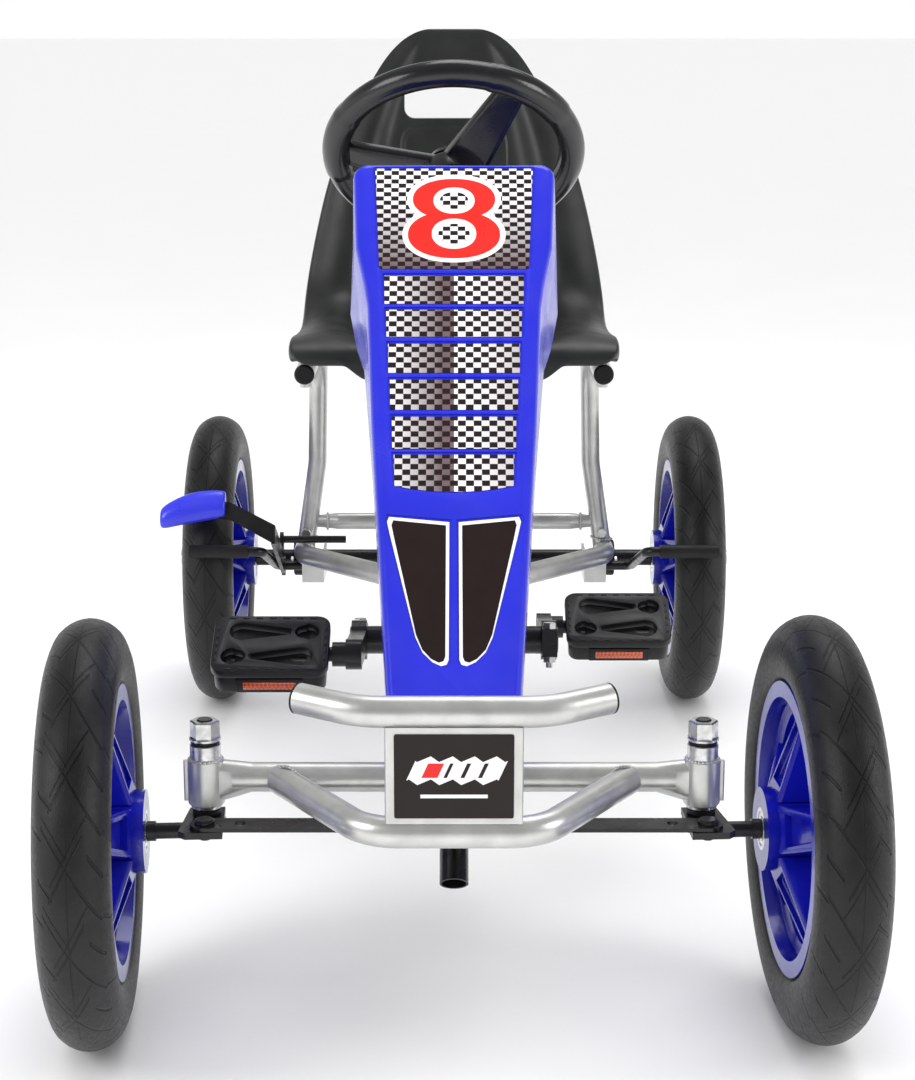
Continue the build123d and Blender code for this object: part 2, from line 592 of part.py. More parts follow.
seat_bars = {}
BRACE_Z = 207.0
BRACE_Y = 399.0
for name, side in SIDES.items():
    seat_route = [
        (side * RAIL_X, RAIL_FRONT_Y, RAIL_Z), (side * RAIL_X, 409, RAIL_Z),
        (side * (RAIL_X + 3), 403, 272), (side * (HOOP_X - 1), 398, HOOP_Z),
    ]
    with BuildPart() as seat_bar:
        tube(seat_route, [52.0, 70.0], SEAT_TUBE, 0)
    seat_bars[name] = seat_bar.part
    with BuildPart() as seat_tube:
        tube(seat_route, [52.0, 70.0], SEAT_TUBE, WALL)
        add(hoop_bar.part, mode=Mode.SUBTRACT)
        for y in SEAT_BOLT_Y:
            disc(Plane(origin=(side * RAIL_X, y, RAIL_Z - 20)), SEAT_BOLT_RADIUS, 40, mode=Mode.SUBTRACT)
        foot_bolt = Plane(origin=(side * (HOOP_X - 2.5), 386, 196), x_dir=(1, 0, 0), z_dir=(0, -1, 0))
        disc(foot_bolt.offset(-30), 3.0, 60, mode=Mode.SUBTRACT)
    seat_tube.part.label = f"seat_tube_{name}"
    export_step(seat_tube.part, f"parts/seat_tube_{name}.step")

with BuildPart() as rear_cross_brace:
    # a round tube whose two ends are flattened where they meet the seat tubes
    stations = [(-152, 8.5, 13), (-128, 18, 18), (128, 18, 18), (152, 8.5, 13)]
    for start, end in zip(stations, stations[1:]):
        for x, deep, high in (start, end):
            with BuildSketch(Plane.YZ.offset(x)):
                with Locations((BRACE_Y, BRACE_Z)):
                    Ellipse(deep / 2, high / 2)
        loft(ruled=True)
    for seat_bar_part in seat_bars.values():
        add(seat_bar_part, mode=Mode.SUBTRACT)
rear_cross_brace.part.label = "rear_cross_brace"
export_step(rear_cross_brace.part, "parts/rear_cross_brace.step")

with BuildPart() as tube_caps:
    # plugs in the open ends of the two seat rails and the upper bumper
    for side in SIDES.values():
        mouth = Plane(origin=(side * RAIL_X, RAIL_FRONT_Y, RAIL_Z), x_dir=(1, 0, 0), z_dir=(0, -1, 0))
        disc(mouth, SEAT_TUBE / 2, 3.0)
        fillet(faces(Select.LAST).sort_by(Axis(mouth.origin, mouth.z_dir))[-1].edges(), 2.4)
        disc(mouth.offset(-10), SEAT_TUBE / 2 - WALL, 10)
    for end, inner in zip(UPPER_ENDS, ((-64, BUMPER_Y, UPPER_BUMPER_Z), (64, BUMPER_Y, UPPER_BUMPER_Z))):
        outward = Vector(*end) - Vector(*inner)
        mouth = Plane(origin=end, x_dir=(0, 0, 1), z_dir=outward)
        disc(mouth, TUBE / 2, 1.6)
        disc(mouth.offset(-8), TUBE / 2 - WALL, 8)
tube_caps.part.label = "tube_caps"
export_step(tube_caps.part, "parts/tube_caps.step")

# ---- rear axle carriers -------------------------------------------------------------
BRACKET_X = (143.0, 167.0)
BRACKET_SHEET = 3.0
CARRIER_DEPTH = 12.0
CARRIER_RADIUS = 20.0
CARRIER_BOLT = 14.8
with BuildPart() as axle_brackets:
    outline = [(375, 143), (375, 168), (402, 170), (440, 172), (447, 160), (440, 145), (425, 141)]
    hollow = [(378, 100), (378, 190), (480, 190), (480, 100)]
    for side in SIDES.values():
        with BuildSketch(Plane.YZ.offset(side * sum(BRACKET_X) / 2)):
            Polygon(*outline, align=None)
        extrude(amount=(BRACKET_X[1] - BRACKET_X[0]) / 2, both=True)
        with BuildSketch(Plane.YZ.offset(side * sum(BRACKET_X) / 2)):
            Polygon(*hollow, align=None)
        extrude(amount=(BRACKET_X[1] - BRACKET_X[0]) / 2 - BRACKET_SHEET, both=True, mode=Mode.SUBTRACT)
    disc(Plane.YZ.offset(-300) * Pos(REAR_Y, AXLE_Z, 0), AXLE_RADIUS + 1, 600, mode=Mode.SUBTRACT)
    disc(Plane.YZ.offset(-300) * Pos(BRAKE_Y, BRAKE_Z, 0), BRAKE_ROD_RADIUS + RUNNING_CLEARANCE, 600,
         mode=Mode.SUBTRACT)
    for y in (REAR_Y - CARRIER_BOLT, REAR_Y + CARRIER_BOLT):
        disc(Plane.YZ.offset(-300) * Pos(y, AXLE_Z, 0), 2.5, 600, mode=Mode.SUBTRACT)
    add(hoop_bar.part, mode=Mode.SUBTRACT)
axle_brackets.part.label = "axle_brackets"
export_step(axle_brackets.part, "parts/axle_brackets.step")

with BuildPart() as axle_bearings:
    for side in SIDES.values():
        face = Plane(origin=(side * BRACKET_X[1], REAR_Y, AXLE_Z), x_dir=(0, 0, 1), z_dir=(side, 0, 0))
        disc(face, CARRIER_RADIUS, CARRIER_DEPTH, AXLE_RADIUS + RUNNING_CLEARANCE)
        fillet(faces(Select.LAST).sort_by(Axis(face.origin, face.z_dir))[-1].outer_wire().edges(), 2.0)
        for y in (-CARRIER_BOLT, CARRIER_BOLT):
            disc(face * Pos(0, y, 0), 2.5, CARRIER_DEPTH, mode=Mode.SUBTRACT)
axle_bearings.part.label = "axle_bearings"
export_step(axle_bearings.part, "parts/axle_bearings.step")

with BuildPart() as frame_bolts:
    for side in SIDES.values():
        foot = Plane(origin=(side * (HOOP_X - 2.5), 388.4, 196), x_dir=(1, 0, 0), z_dir=(0, -1, 0))
        bolt(foot, 10.0, 4.0, 3.0, 24.0)
        face = Plane(origin=(side * (BRACKET_X[1] + CARRIER_DEPTH), REAR_Y, AXLE_Z), x_dir=(0, 0, 1),
                     z_dir=(side, 0, 0))
        for y in (-CARRIER_BOLT, CARRIER_BOLT):
            bolt(Plane(face * Pos(0, y, 0)), 8.0, 3.0, 2.5, CARRIER_DEPTH + BRACKET_SHEET + 2)
frame_bolts.part.label = "frame_bolts"
export_step(frame_bolts.part, "parts/frame_bolts.step")

# ---- rear axle ----------------------------------------------------------------------
AXLE_SHOULDER = REAR_WHEEL_X - HUB_INBOARD - 1.0
AXLE_TIP = REAR_WHEEL_X + HUB_OUTBOARD + 12.0
across_axle = Plane(origin=(0, REAR_Y, AXLE_Z), x_dir=(0, 1, 0), z_dir=(1, 0, 0))
with BuildPart() as rear_axle:
    disc(across_axle.offset(-AXLE_SHOULDER), AXLE_RADIUS, 2 * AXLE_SHOULDER)
    disc(across_axle.offset(-AXLE_TIP), SPINDLE_RADIUS, 2 * AXLE_TIP)
    pin_x = -(REAR_WHEEL_X - HUB_INBOARD + DRIVE_PIN / 2)
    tube([(pin_x, REAR_Y, AXLE_Z - DRIVE_PIN_LENGTH / 2), (pin_x, REAR_Y, AXLE_Z + DRIVE_PIN_LENGTH / 2)],
         0, DRIVE_PIN, 0)
rear_axle.part.label = "rear_axle"
export_step(rear_axle.part, "parts/rear_axle.step")

with BuildPart() as axle_nuts:
    for side in SIDES.values():
        face = Plane(origin=(side * (REAR_WHEEL_X + HUB_OUTBOARD), REAR_Y, AXLE_Z), x_dir=(0, 0, 1),
                     z_dir=(side, 0, 0))
        disc(face.offset(0.3), 11.0, 1.7, SPINDLE_RADIUS)
        hexagon(face.offset(2.0), 19.0, 9.5, SPINDLE_RADIUS)
axle_nuts.part.label = "axle_nuts"
export_step(axle_nuts.part, "parts/axle_nuts.step")


def toothed_wheel(plane, teeth):
    """A chain wheel: a disc whose tooth gaps are the rollers' own circles."""
    pitch_radius = CHAIN_PITCH / 2 / sin(pi / teeth)
    with BuildSketch(plane) as outline:
        Circle(pitch_radius + 3.2)
        with PolarLocations(pitch_radius, teeth):
            Circle(4.0, mode=Mode.SUBTRACT)
    extrude(outline.sketch, amount=3.0)


FRONT_PITCH = CHAIN_PITCH / 2 / sin(pi / FRONT_TEETH)
REAR_PITCH = CHAIN_PITCH / 2 / sin(pi / REAR_TEETH)
across_crank = Plane(origin=(0, CRANK_Y, CRANK_Z), x_dir=(0, 1, 0), z_dir=(1, 0, 0))
with BuildPart() as rear_sprocket:
    toothed_wheel(across_axle.offset(CHAIN_X - 1.5), REAR_TEETH)
    disc(across_axle.offset(CHAIN_X - 4), 16.0, 12.0)
    disc(across_axle, AXLE_RADIUS, 100, mode=Mode.SUBTRACT)
rear_sprocket.part.label = "rear_sprocket"
export_step(rear_sprocket.part, "parts/rear_sprocket.step")

# ---- crank --------------------------------------------------------------------------
with BuildPart() as crank_housing:
    disc(across_crank.offset(-HOUSING_HALF), HOUSING_RADIUS, 2 * HOUSING_HALF, HOUSING_RADIUS - 3)
crank_housing.part.label = "crank_housing"
export_step(crank_housing.part, "parts/crank_housing.step")

with BuildPart() as crank_bushes:
    for side in SIDES.values():
        mouth = Plane(origin=(side * HOUSING_HALF, CRANK_Y, CRANK_Z), x_dir=(0, 0, 1), z_dir=(side, 0, 0))
        disc(mouth.offset(-12), HOUSING_RADIUS - 3, 12, CRANK_AXLE_RADIUS + RUNNING_CLEARANCE)
        disc(mouth, HOUSING_RADIUS, 1.5, CRANK_AXLE_RADIUS + RUNNING_CLEARANCE)
crank_bushes.part.label = "crank_bushes"
export_step(crank_bushes.part, "parts/crank_bushes.step")

with BuildPart() as crank_axle:
    disc(across_crank.offset(-ARM_X[1] - 1.5), CRANK_AXLE_RADIUS, 2 * ARM_X[1] + 3)
    chamfer(crank_axle.edges().filter_by(GeomType.CIRCLE), 1.0)
crank_axle.part.label = "crank_axle"
export_step(crank_axle.part, "parts/crank_axle.step")

with BuildPart() as chainring:
    toothed_wheel(across_crank.offset(CHAIN_X - 1.5), FRONT_TEETH)
    with BuildSketch(across_crank) as windows:
        with PolarLocations(32.0, 5):
            Circle(8.5)
    extrude(windows.sketch, amount=100, mode=Mode.SUBTRACT)
    disc(across_crank.offset(HOUSING_HALF + 2), 19.0, 11.0)
    disc(across_crank, CRANK_AXLE_RADIUS, 100, mode=Mode.SUBTRACT)
chainring.part.label = "chainring"
export_step(chainring.part, "parts/chainring.step")


def arm_frame(side):
    """At the crank axle: x along the arm to its pedal, z away from the kart."""
    forward = Vector(0, side * cos(radians(CRANK_ANGLE)), -side * sin(radians(CRANK_ANGLE)))
    return Plane(origin=(side * ARM_X[0], CRANK_Y, CRANK_Z), x_dir=forward, z_dir=(side, 0, 0))


ARM_THICKNESS = ARM_X[1] - ARM_X[0]
PINCH_AT = -18.5            # pinch bolt, behind the crank axle
with BuildPart() as crank_arms:
    for side in SIDES.values():
        arm = arm_frame(side)
        with BuildSketch(arm) as profile:
            with Locations((40.0, 0)):
                Rectangle(130.0, 20.0)
            Circle(17.0)
            with Locations((PINCH_AT, 0)):
                Rectangle(14.0, 24.0)
            with Locations((CRANK_LENGTH, 0)):
                Circle(12.5)
            Circle(CRANK_AXLE_RADIUS, mode=Mode.SUBTRACT)
        extrude(profile.sketch, amount=ARM_THICKNESS)
        pinch = Plane(origin=arm.from_local_coords((PINCH_AT, 0, ARM_THICKNESS / 2)), x_dir=arm.x_dir,
                      z_dir=arm.y_dir)
        disc(pinch.offset(-30), 3.0, 60, mode=Mode.SUBTRACT)
        spindle = Plane(origin=arm.from_local_coords((CRANK_LENGTH, 0, ARM_THICKNESS)), x_dir=arm.x_dir,
                        z_dir=arm.z_dir)
        disc(spindle, 10.0, PEDAL_X[0] - ARM_X[1] - 2)
        disc(spindle, SPINDLE_RADIUS, PEDAL_X[1] - ARM_X[1] - 6)
crank_arms.part.label = "crank_arms"
export_step(crank_arms.part, "parts/crank_arms.step")

with BuildPart() as crank_bolts:
    for side in SIDES.values():
        arm = arm_frame(side)
        up = arm.y_dir if arm.y_dir.Z > 0 else -arm.y_dir
        spot = arm.from_local_coords((PINCH_AT, 0, ARM_THICKNESS / 2))
        bolt(Plane(origin=spot + up * 12, x_dir=arm.x_dir, z_dir=up), 10.0, 5.0, 3.0, 34.0)
        hexagon(Plane(origin=spot - up * 12, x_dir=arm.x_dir, z_dir=-up), 10.0, 5.0, 3.0, edge=0.6)
crank_bolts.part.label = "crank_bolts"
export_step(crank_bolts.part, "parts/crank_bolts.step")

# ---- pedals -------------------------------------------------------------------------
PEDAL_LENGTH = PEDAL_X[1] - PEDAL_X[0]
for name, side in SIDES.items():
    arm = arm_frame(side)
    centre = arm.from_local_coords((CRANK_LENGTH, 0, ARM_THICKNESS + PEDAL_X[0] - ARM_X[1]))
    tread = Plane(origin=centre, x_dir=(side, 0, 0),
                  z_dir=(0, -sin(radians(PEDAL_TILT)), cos(radians(PEDAL_TILT))))
    with BuildPart() as pedal:
        with BuildSketch(tread.offset(-PEDAL_HEIGHT / 2)) as outline:
            with Locations((PEDAL_LENGTH / 2, 0)):
                RectangleRounded(PEDAL_LENGTH, PEDAL_DEPTH, 14.0)
        extrude(outline.sketch, amount=PEDAL_HEIGHT)
        with BuildSketch(tread.offset(-PEDAL_HEIGHT / 2)) as windows:
            for row, shift in ((19.5, -14.0), (-19.5, 14.0)):
                with Locations((PEDAL_LENGTH / 2 + shift, row)):
                    SlotOverall(42.0, 15.0)
                with Locations((PEDAL_LENGTH / 2 - 2.1 * shift, row)):
                    Circle(7.5)
        extrude(windows.sketch, amount=PEDAL_HEIGHT, mode=Mode.SUBTRACT)
        bore = Plane(origin=centre, x_dir=(0, 1, 0), z_dir=(side, 0, 0))
        disc(bore, SPINDLE_RADIUS + RUNNING_CLEARANCE, PEDAL_LENGTH - 4, mode=Mode.SUBTRACT)
    pedal.part.label = f"pedal_{name}"
    export_step(pedal.part, f"parts/pedal_{name}.step")

# ---- chain and its guard ------------------------------------------------------------
chain_ends = ((CRANK_Y, CRANK_Z), (REAR_Y, AXLE_Z))


def loop(x, radii, thickness, mode=Mode.ADD):
    """A flat plate at x, bounded by a belt round the two chain wheels' centres."""
    with BuildSketch(Plane.YZ.offset(x)) as belt:
        for centre, radius in zip(chain_ends, radii):
            with Locations(centre):
                Circle(radius)
        make_hull()
    extrude(belt.sketch, amount=thickness, mode=mode)


LINK_HALF = 4.2
LINK_SHEET = 1.2
LINK_INSIDE = 2.2
chain_run = Vector(0, REAR_Y - CRANK_Y, AXLE_Z - CRANK_Z)
chain_lean = asin((FRONT_PITCH - REAR_PITCH) / chain_run.length)
chain_slope = atan2(CRANK_Z - AXLE_Z, REAR_Y - CRANK_Y)
with BuildPart() as chain:
    for x in (CHAIN_X - LINK_INSIDE - LINK_SHEET, CHAIN_X + LINK_INSIDE):
        loop(x, (FRONT_PITCH + LINK_HALF, REAR_PITCH + LINK_HALF), LINK_SHEET)
        loop(x, (FRONT_PITCH - LINK_HALF, REAR_PITCH - LINK_HALF), LINK_SHEET, mode=Mode.SUBTRACT)
    # rollers join the plates along the two straight runs
    for upper in (1, -1):
        lean = upper * (pi / 2 - chain_lean) - chain_slope
        normal = Vector(0, cos(lean), sin(lean))
        start = Vector(0, CRANK_Y, CRANK_Z) + normal * FRONT_PITCH
        finish = Vector(0, REAR_Y, AXLE_Z) + normal * REAR_PITCH
        steps = int((finish - start).length / CHAIN_PITCH) - 2
        for step in range(3, steps + 1):
            spot = start + (finish - start).normalized() * (step * CHAIN_PITCH)
            disc(Plane(origin=(CHAIN_X - LINK_INSIDE - 0.2, spot.Y, spot.Z), x_dir=(0, 1, 0), z_dir=(1, 0, 0)),
                 3.8, 2 * LINK_INSIDE + 0.4)
chain.part.label = "chain"
export_step(chain.part, "parts/chain.step")

GUARD_X = 44.0
with BuildPart() as chain_guard:
    loop(GUARD_X, (60.0, 33.0), 2.0)
    loop(GUARD_X, (33.0, 14.0), 2.0, mode=Mode.SUBTRACT)
    # the lower run stays open behind the mounting tab
    with BuildSketch(Plane.YZ.offset(GUARD_X)) as gap:
        with Locations((230.0, 125.0)):
            Rectangle(300.0, 90.0)
    extrude(gap.sketch, amount=2.0, mode=Mode.SUBTRACT)
    with BuildSketch(Plane.XZ.offset(-10)) as tab:
        with Locations(((BEAM_WIDTH / 2 + GUARD_X) / 2, 172.0)):
            Rectangle(GUARD_X - BEAM_WIDTH / 2, 4.0)
    extrude(tab.sketch, amount=-20)
chain_guard.part.label = "chain_guard"
export_step(chain_guard.part, "parts/chain_guard.step")

# ---- hand brake ---------------------------------------------------------------------
brake_route = [
    (-275, SHOE_Y, SHOE_Z), (-201, SHOE_Y, SHOE_Z), (-195, BRAKE_Y, BRAKE_Z),
    (195, BRAKE_Y, BRAKE_Z), (201, SHOE_Y, SHOE_Z), (275, SHOE_Y, SHOE_Z),
]
with BuildPart() as brake_rod:
    tube(brake_route, 10.0, 2 * BRAKE_ROD_RADIUS, 0)
brake_rod.part.label = "brake_rod"
export_step(brake_rod.part, "parts/brake_rod.step")

with BuildPart() as brake_sleeves:
    for side in SIDES.values():
        start = Plane(origin=(side * 215.0, SHOE_Y, SHOE_Z), x_dir=(0, 0, 1), z_dir=(side, 0, 0))
        disc(start, 7.0, 61.5, BRAKE_ROD_RADIUS)
        disc(start.offset(60.0), BRAKE_ROD_RADIUS, 1.5)
brake_sleeves.part.label = "brake_sleeves"
export_step(brake_sleeves.part, "parts/brake_sleeves.step")

LEVER_X = -188.0
LEVER_SHEET = 4.0
LEVER_HALF = 10.0
lever_foot = Vector(0, BRAKE_Y, BRAKE_Z)
lever_bend = Vector(0, 258.0, 224.0)
lever_run = (lever_bend - lever_foot).normalized()
lever_wide = Vector(0, -lever_run.Z, lever_run.Y) * -1
# the flat of the outboard arm: x runs away from the kart, y across the bar
lever_flat = Plane(origin=(LEVER_X, lever_bend.Y, lever_bend.Z), x_dir=(-1, 0, 0),
                   z_dir=Vector(-1, 0, 0).cross(lever_wide))
lever_side = Plane(origin=(LEVER_X - LEVER_SHEET / 2, BRAKE_Y, BRAKE_Z), x_dir=lever_run,
                   z_dir=(1, 0, 0))
lever_length = (lever_bend - lever_foot).length
STOP_Y = 370.0
STOP_Z = 193.0
with BuildPart() as brake_lever:
    with BuildSketch(lever_side) as web:
        with Locations((lever_length / 2, 0)):
            Rectangle(lever_length + LEVER_SHEET, 2 * LEVER_HALF)
        Circle(11.0)
        stop_spot = lever_side.to_local_coords(Vector(LEVER_X, STOP_Y, STOP_Z))
        with Locations((stop_spot.X, stop_spot.Y)):
            Circle(8.0)
        with Locations((stop_spot.X, stop_spot.Y / 2)):
            Rectangle(16.0, abs(stop_spot.Y))
    extrude(web.sketch, amount=LEVER_SHEET)
    with BuildSketch(lever_flat.offset(-LEVER_SHEET / 2)) as arm:
        Polygon((-2, -LEVER_HALF), (46, 17), (80, 20), (80, 36), (46, 35), (-2, LEVER_HALF), align=None)
    extrude(arm.sketch, amount=LEVER_SHEET)
    tube([(LEVER_X, STOP_Y, STOP_Z), (-118, STOP_Y, STOP_Z)], 0, 8.0, 0)
    add(brake_rod.part, mode=Mode.SUBTRACT)
brake_lever.part.label = "brake_lever"
export_step(brake_lever.part, "parts/brake_lever.step")

with BuildPart() as brake_grip:
    for out, across, high, thick in ((50, 33, 30, 20), (81, 30, 33, 24), (118, 17, 22, 17)):
        station = Plane(origin=lever_flat.from_local_coords((out, across, 0)), x_dir=lever_flat.y_dir,
                        z_dir=lever_flat.x_dir)
        with BuildSketch(station):
            Ellipse(high / 2, thick / 2)
    loft()
    add(brake_lever.part, mode=Mode.SUBTRACT)
brake_grip.part.label = "brake_grip"
export_step(brake_grip.part, "parts/brake_grip.step")

# ---- hood ---------------------------------------------------------------------------
# Sections square to the column: (along the column, half width in front, half width behind).
HOOD_FACE = 112.0           # from the column's axis to the front face
HOOD_SHEET = 2.5
HOOD_SECTIONS = [
    (602, 85.5, 89.5), (515, 81.0, 90.5), (478, 73.5, 84.0), (455, 70.5, 77.0),
    (345, 65.5, 67.5), (270, 60.5, 62.0), (104, 50.0, 51.0), (60, 49.0, 50.5),
]


def hood_body(inset, top, foot):
    """The hood as a solid block, or the same block smaller all round by inset."""
    rows = [(along, front - inset, behind - inset) for along, front, behind in HOOD_SECTIONS]
    rows[0] = (top, *rows[0][1:])
    rows[-1] = (foot, *rows[-1][1:])
    back = -4.0 if inset else 0.0
    with BuildPart() as body:
        for upper, lower in zip(rows, rows[1:]):
            for along, front, behind in (upper, lower):
                with BuildSketch(column_plane(along)):
                    Polygon((-front, -(HOOD_FACE - inset)), (front, -(HOOD_FACE - inset)),
                            (behind, -back), (-behind, -back), align=None)
            loft(ruled=True)
    return body.part


hood_outside = hood_body(0, 602, 60)
hood_inside = hood_body(HOOD_SHEET, 602 - HOOD_SHEET, 50)
with BuildPart() as hood:
    add(hood_outside)
    # seen from the side the skirt is cut back towards its foot, over the crossbar
    with BuildSketch(Plane(origin=column_foot, x_dir=column_up, z_dir=(1, 0, 0))) as skirt:
        Polygon((0, 92), (60, 92), (74, 88), (150, 12), (590, 12), (602, 24), (602, 200), (0, 200), align=None)
    extrude(skirt.sketch, amount=120, both=True, mode=Mode.INTERSECT)
    add(hood_inside, mode=Mode.SUBTRACT)
hood.part.label = "hood"
export_step(hood.part, "parts/hood.step")

with BuildPart() as hood_brackets:
    # a strap from the upper sleeve to the hood, and one from the main beam
    with BuildSketch(column_plane(500)) as upper_strap:
        with Locations((0, -(HOOD_FACE - HOOD_SHEET) / 2)):
            Rectangle(30, HOOD_FACE - HOOD_SHEET)
    extrude(upper_strap.sketch, amount=3.0)
    with BuildSketch(column_plane(96)) as lower_strap:
        with Locations((0, -(55 + HOOD_FACE - HOOD_SHEET) / 2)):
            Rectangle(24, HOOD_FACE - HOOD_SHEET - 55)
    extrude(lower_strap.sketch, amount=3.0)
    add(sleeve_bars.part, mode=Mode.SUBTRACT)
    add(crossbar_bar.part, mode=Mode.SUBTRACT)
    add(beam_bar.part, mode=Mode.SUBTRACT)
hood_brackets.part.label = "hood_brackets"
export_step(hood_brackets.part, "parts/hood_brackets.step")

# ---- seat ---------------------------------------------------------------------------
SEAT_FLOOR = RAIL_Z + SEAT_TUBE / 2 + 0.3
SEAT_TOP = 739.0
SLOT_LOW = 641.0
SLOT_HIGH = 676.0
with BuildPart() as seat:
    # side view: front lip, pan, and a back that leans 15 degrees
    with BuildSketch(Plane.YZ) as profile:
        Polygon(
            (134, 400), (134, 430), (146, 441), (172, 444), (250, 436), (330, 434), (382, 446), (408, 478),
            (424, 520), (474, SEAT_TOP - 8), (486, SEAT_TOP), (506, SEAT_TOP - 8), (462, 540), (444, 470),
            (430, 424), (410, 404), (146, 397), align=None,
        )
    extrude(profile.sketch, amount=200, both=True)
    # front view
    with BuildSketch(Plane.XZ.offset(-300)) as outline:
        Polygon(
            (164, 380), (164, 452), (159, 480), (143, 560), (118, 632), (84, 690), (62, 722), (34, 736),
            (0, SEAT_TOP), (-34, 736), (-62, 722), (-84, 690), (-118, 632), (-143, 560), (-159, 480),
            (-164, 452), (-164, 380), align=None,
        )
    extrude(outline.sketch, amount=400, both=True, mode=Mode.INTERSECT)
    # the dish between the bolsters
    with BuildSketch(Plane.YZ) as dish:
        Polygon(
            (160, 470), (176, 432), (250, 420), (330, 418), (372, 428), (400, 470), (420, 522), (458, 690),
            (440, 700), (300, 600), align=None,
        )
    extrude(dish.sketch, amount=108, both=True, mode=Mode.SUBTRACT)
    # the grab slot
    with BuildSketch(Plane.XZ.offset(-420)) as slot:
        with Locations((0, (SLOT_LOW + SLOT_HIGH) / 2)):
            SlotOverall(108.0, SLOT_HIGH - SLOT_LOW)
    extrude(slot.sketch, amount=-150, mode=Mode.SUBTRACT)
    # the edges rest on the rails, the middle hangs between them
    for side in SIDES.values():
        with BuildSketch(Plane.XZ) as rail_room:
            with Locations((side * 160.0, SEAT_FLOOR - 50)):
                Rectangle(56.0, 100.0)
        extrude(rail_room.sketch, amount=-600, mode=Mode.SUBTRACT)
        for y in SEAT_BOLT_Y:
            disc(Plane(origin=(side * RAIL_X, y, SEAT_FLOOR - 20)), SEAT_BOLT_RADIUS, 32, mode=Mode.SUBTRACT)
seat.part.label = "seat"
export_step(seat.part, "parts/seat.step")

with BuildPart() as seat_bolts:
    for side in SIDES.values():
        for y in SEAT_BOLT_Y:
            under = Plane(origin=(side * RAIL_X, y, RAIL_Z - SEAT_TUBE / 2 - 0.2), x_dir=(1, 0, 0), z_dir=(0, 0, -1))
            bolt(under, 10.0, 5.0, SEAT_BOLT_RADIUS, SEAT_TUBE + 11)
seat_bolts.part.label = "seat_bolts"
export_step(seat_bolts.part, "parts/seat_bolts.step")
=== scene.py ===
import bmesh
import bpy
from math import atan2, cos, pi, radians, sin, sqrt
from mathutils import Matrix, Vector


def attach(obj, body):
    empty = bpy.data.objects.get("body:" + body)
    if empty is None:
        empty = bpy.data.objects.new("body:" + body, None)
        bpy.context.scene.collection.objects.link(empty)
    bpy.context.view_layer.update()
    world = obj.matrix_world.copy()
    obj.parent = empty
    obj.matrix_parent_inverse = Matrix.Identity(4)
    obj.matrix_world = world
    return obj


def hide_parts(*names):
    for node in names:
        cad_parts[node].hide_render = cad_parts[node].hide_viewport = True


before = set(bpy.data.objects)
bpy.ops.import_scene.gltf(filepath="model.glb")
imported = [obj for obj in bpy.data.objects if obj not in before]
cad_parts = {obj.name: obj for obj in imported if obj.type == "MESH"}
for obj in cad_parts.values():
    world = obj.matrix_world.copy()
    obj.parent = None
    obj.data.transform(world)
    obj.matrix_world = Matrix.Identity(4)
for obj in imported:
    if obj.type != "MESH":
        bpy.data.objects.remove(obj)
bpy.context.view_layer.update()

# ---- camera -------------------------------------------------------------------------
# It stands in front of the kart, a little above the steering wheel, and looks down at it.
CAMERA_PLACE = (0.0, -1.9451, 0.7403)
CAMERA_DOWN = radians(13.32)
camera_data = bpy.data.cameras.new("camera")
camera_data.sensor_fit = "VERTICAL"
camera_data.sensor_height = 24.0
camera_data.lens = 48.37
camera_data.shift_x = 0.0032
camera = bpy.data.objects.new("camera", camera_data)
camera.location = CAMERA_PLACE
camera.rotation_euler = (pi / 2 - CAMERA_DOWN, 0, 0)
bpy.context.collection.objects.link(camera)
bpy.context.scene.camera = camera

# ---- studio -------------------------------------------------------------------------
# A white studio sweep: a pale floor, a bright surround, three soft lamps, a fill lamp and the
# even light of a white ceiling.


def material(name, **sockets):
    """A material whose shader's own sockets hold the given values."""
    finish = bpy.data.materials.new(name)
    finish.use_nodes = True
    shader = finish.node_tree.nodes["Principled BSDF"]
    for socket, value in sockets.items():
        shader.inputs[socket.replace("_", " ")].default_value = value
    return finish


def node(finish, kind, **inputs):
    """A node in the material's tree; each input is a value or another node's output."""
    made = finish.node_tree.nodes.new("ShaderNode" + kind)
    for key, value in inputs.items():
        by_number = key[0] == "i" and key[1:].isdigit()
        socket = made.inputs[int(key[1:]) if by_number else key]
        if isinstance(value, bpy.types.NodeSocket):
            finish.node_tree.links.new(value, socket)
        else:
            socket.default_value = value
    return made


def calc(finish, operation, *values):
    """The output of a Math node."""
    made = node(finish, "Math", **{f"i{i}": value for i, value in enumerate(values)})
    made.operation = operation
    return made.outputs[0]


def drive(finish, socket, output):
    """Feeds a socket of the material's shader."""
    shader = finish.node_tree.nodes["Principled BSDF"]
    finish.node_tree.links.new(output, shader.inputs[socket])


def spread(finish, value, low, high, start, end):
    """value between low and high becomes start to end, and stays there outside them."""
    made = node(finish, "MapRange", i0=value, i1=low, i2=high, i3=start, i4=end)
    return made.outputs[0]


def grain(finish, scale, detail=4.0, stretch=(1, 1, 1)):
    """Noise in the piece's own coordinates, scale per metre."""
    place = finish.node_tree.nodes.new("ShaderNodeTexCoord").outputs["Object"]
    turned = node(finish, "Mapping", Vector=place, Scale=stretch)
    noise = node(finish, "TexNoise", Vector=turned.outputs[0], Scale=scale, Detail=detail)
    return noise.outputs["Fac"]


FLOOR_HALF = 120.0
floor_finish = material("floor_white", Base_Color=(0.9, 0.9, 0.9, 1))
drive(floor_finish, "Roughness", spread(floor_finish, grain(floor_finish, 3.0), 0.3, 0.7, 0.5, 0.65))
floor_mesh = bmesh.new()
bmesh.ops.create_grid(floor_mesh, x_segments=1, y_segments=1, size=FLOOR_HALF)
floor_data = bpy.data.meshes.new("floor")
floor_mesh.to_mesh(floor_data)
floor_data.materials.append(floor_finish)
floor = bpy.data.objects.new("floor", floor_data)
bpy.context.collection.objects.link(floor)

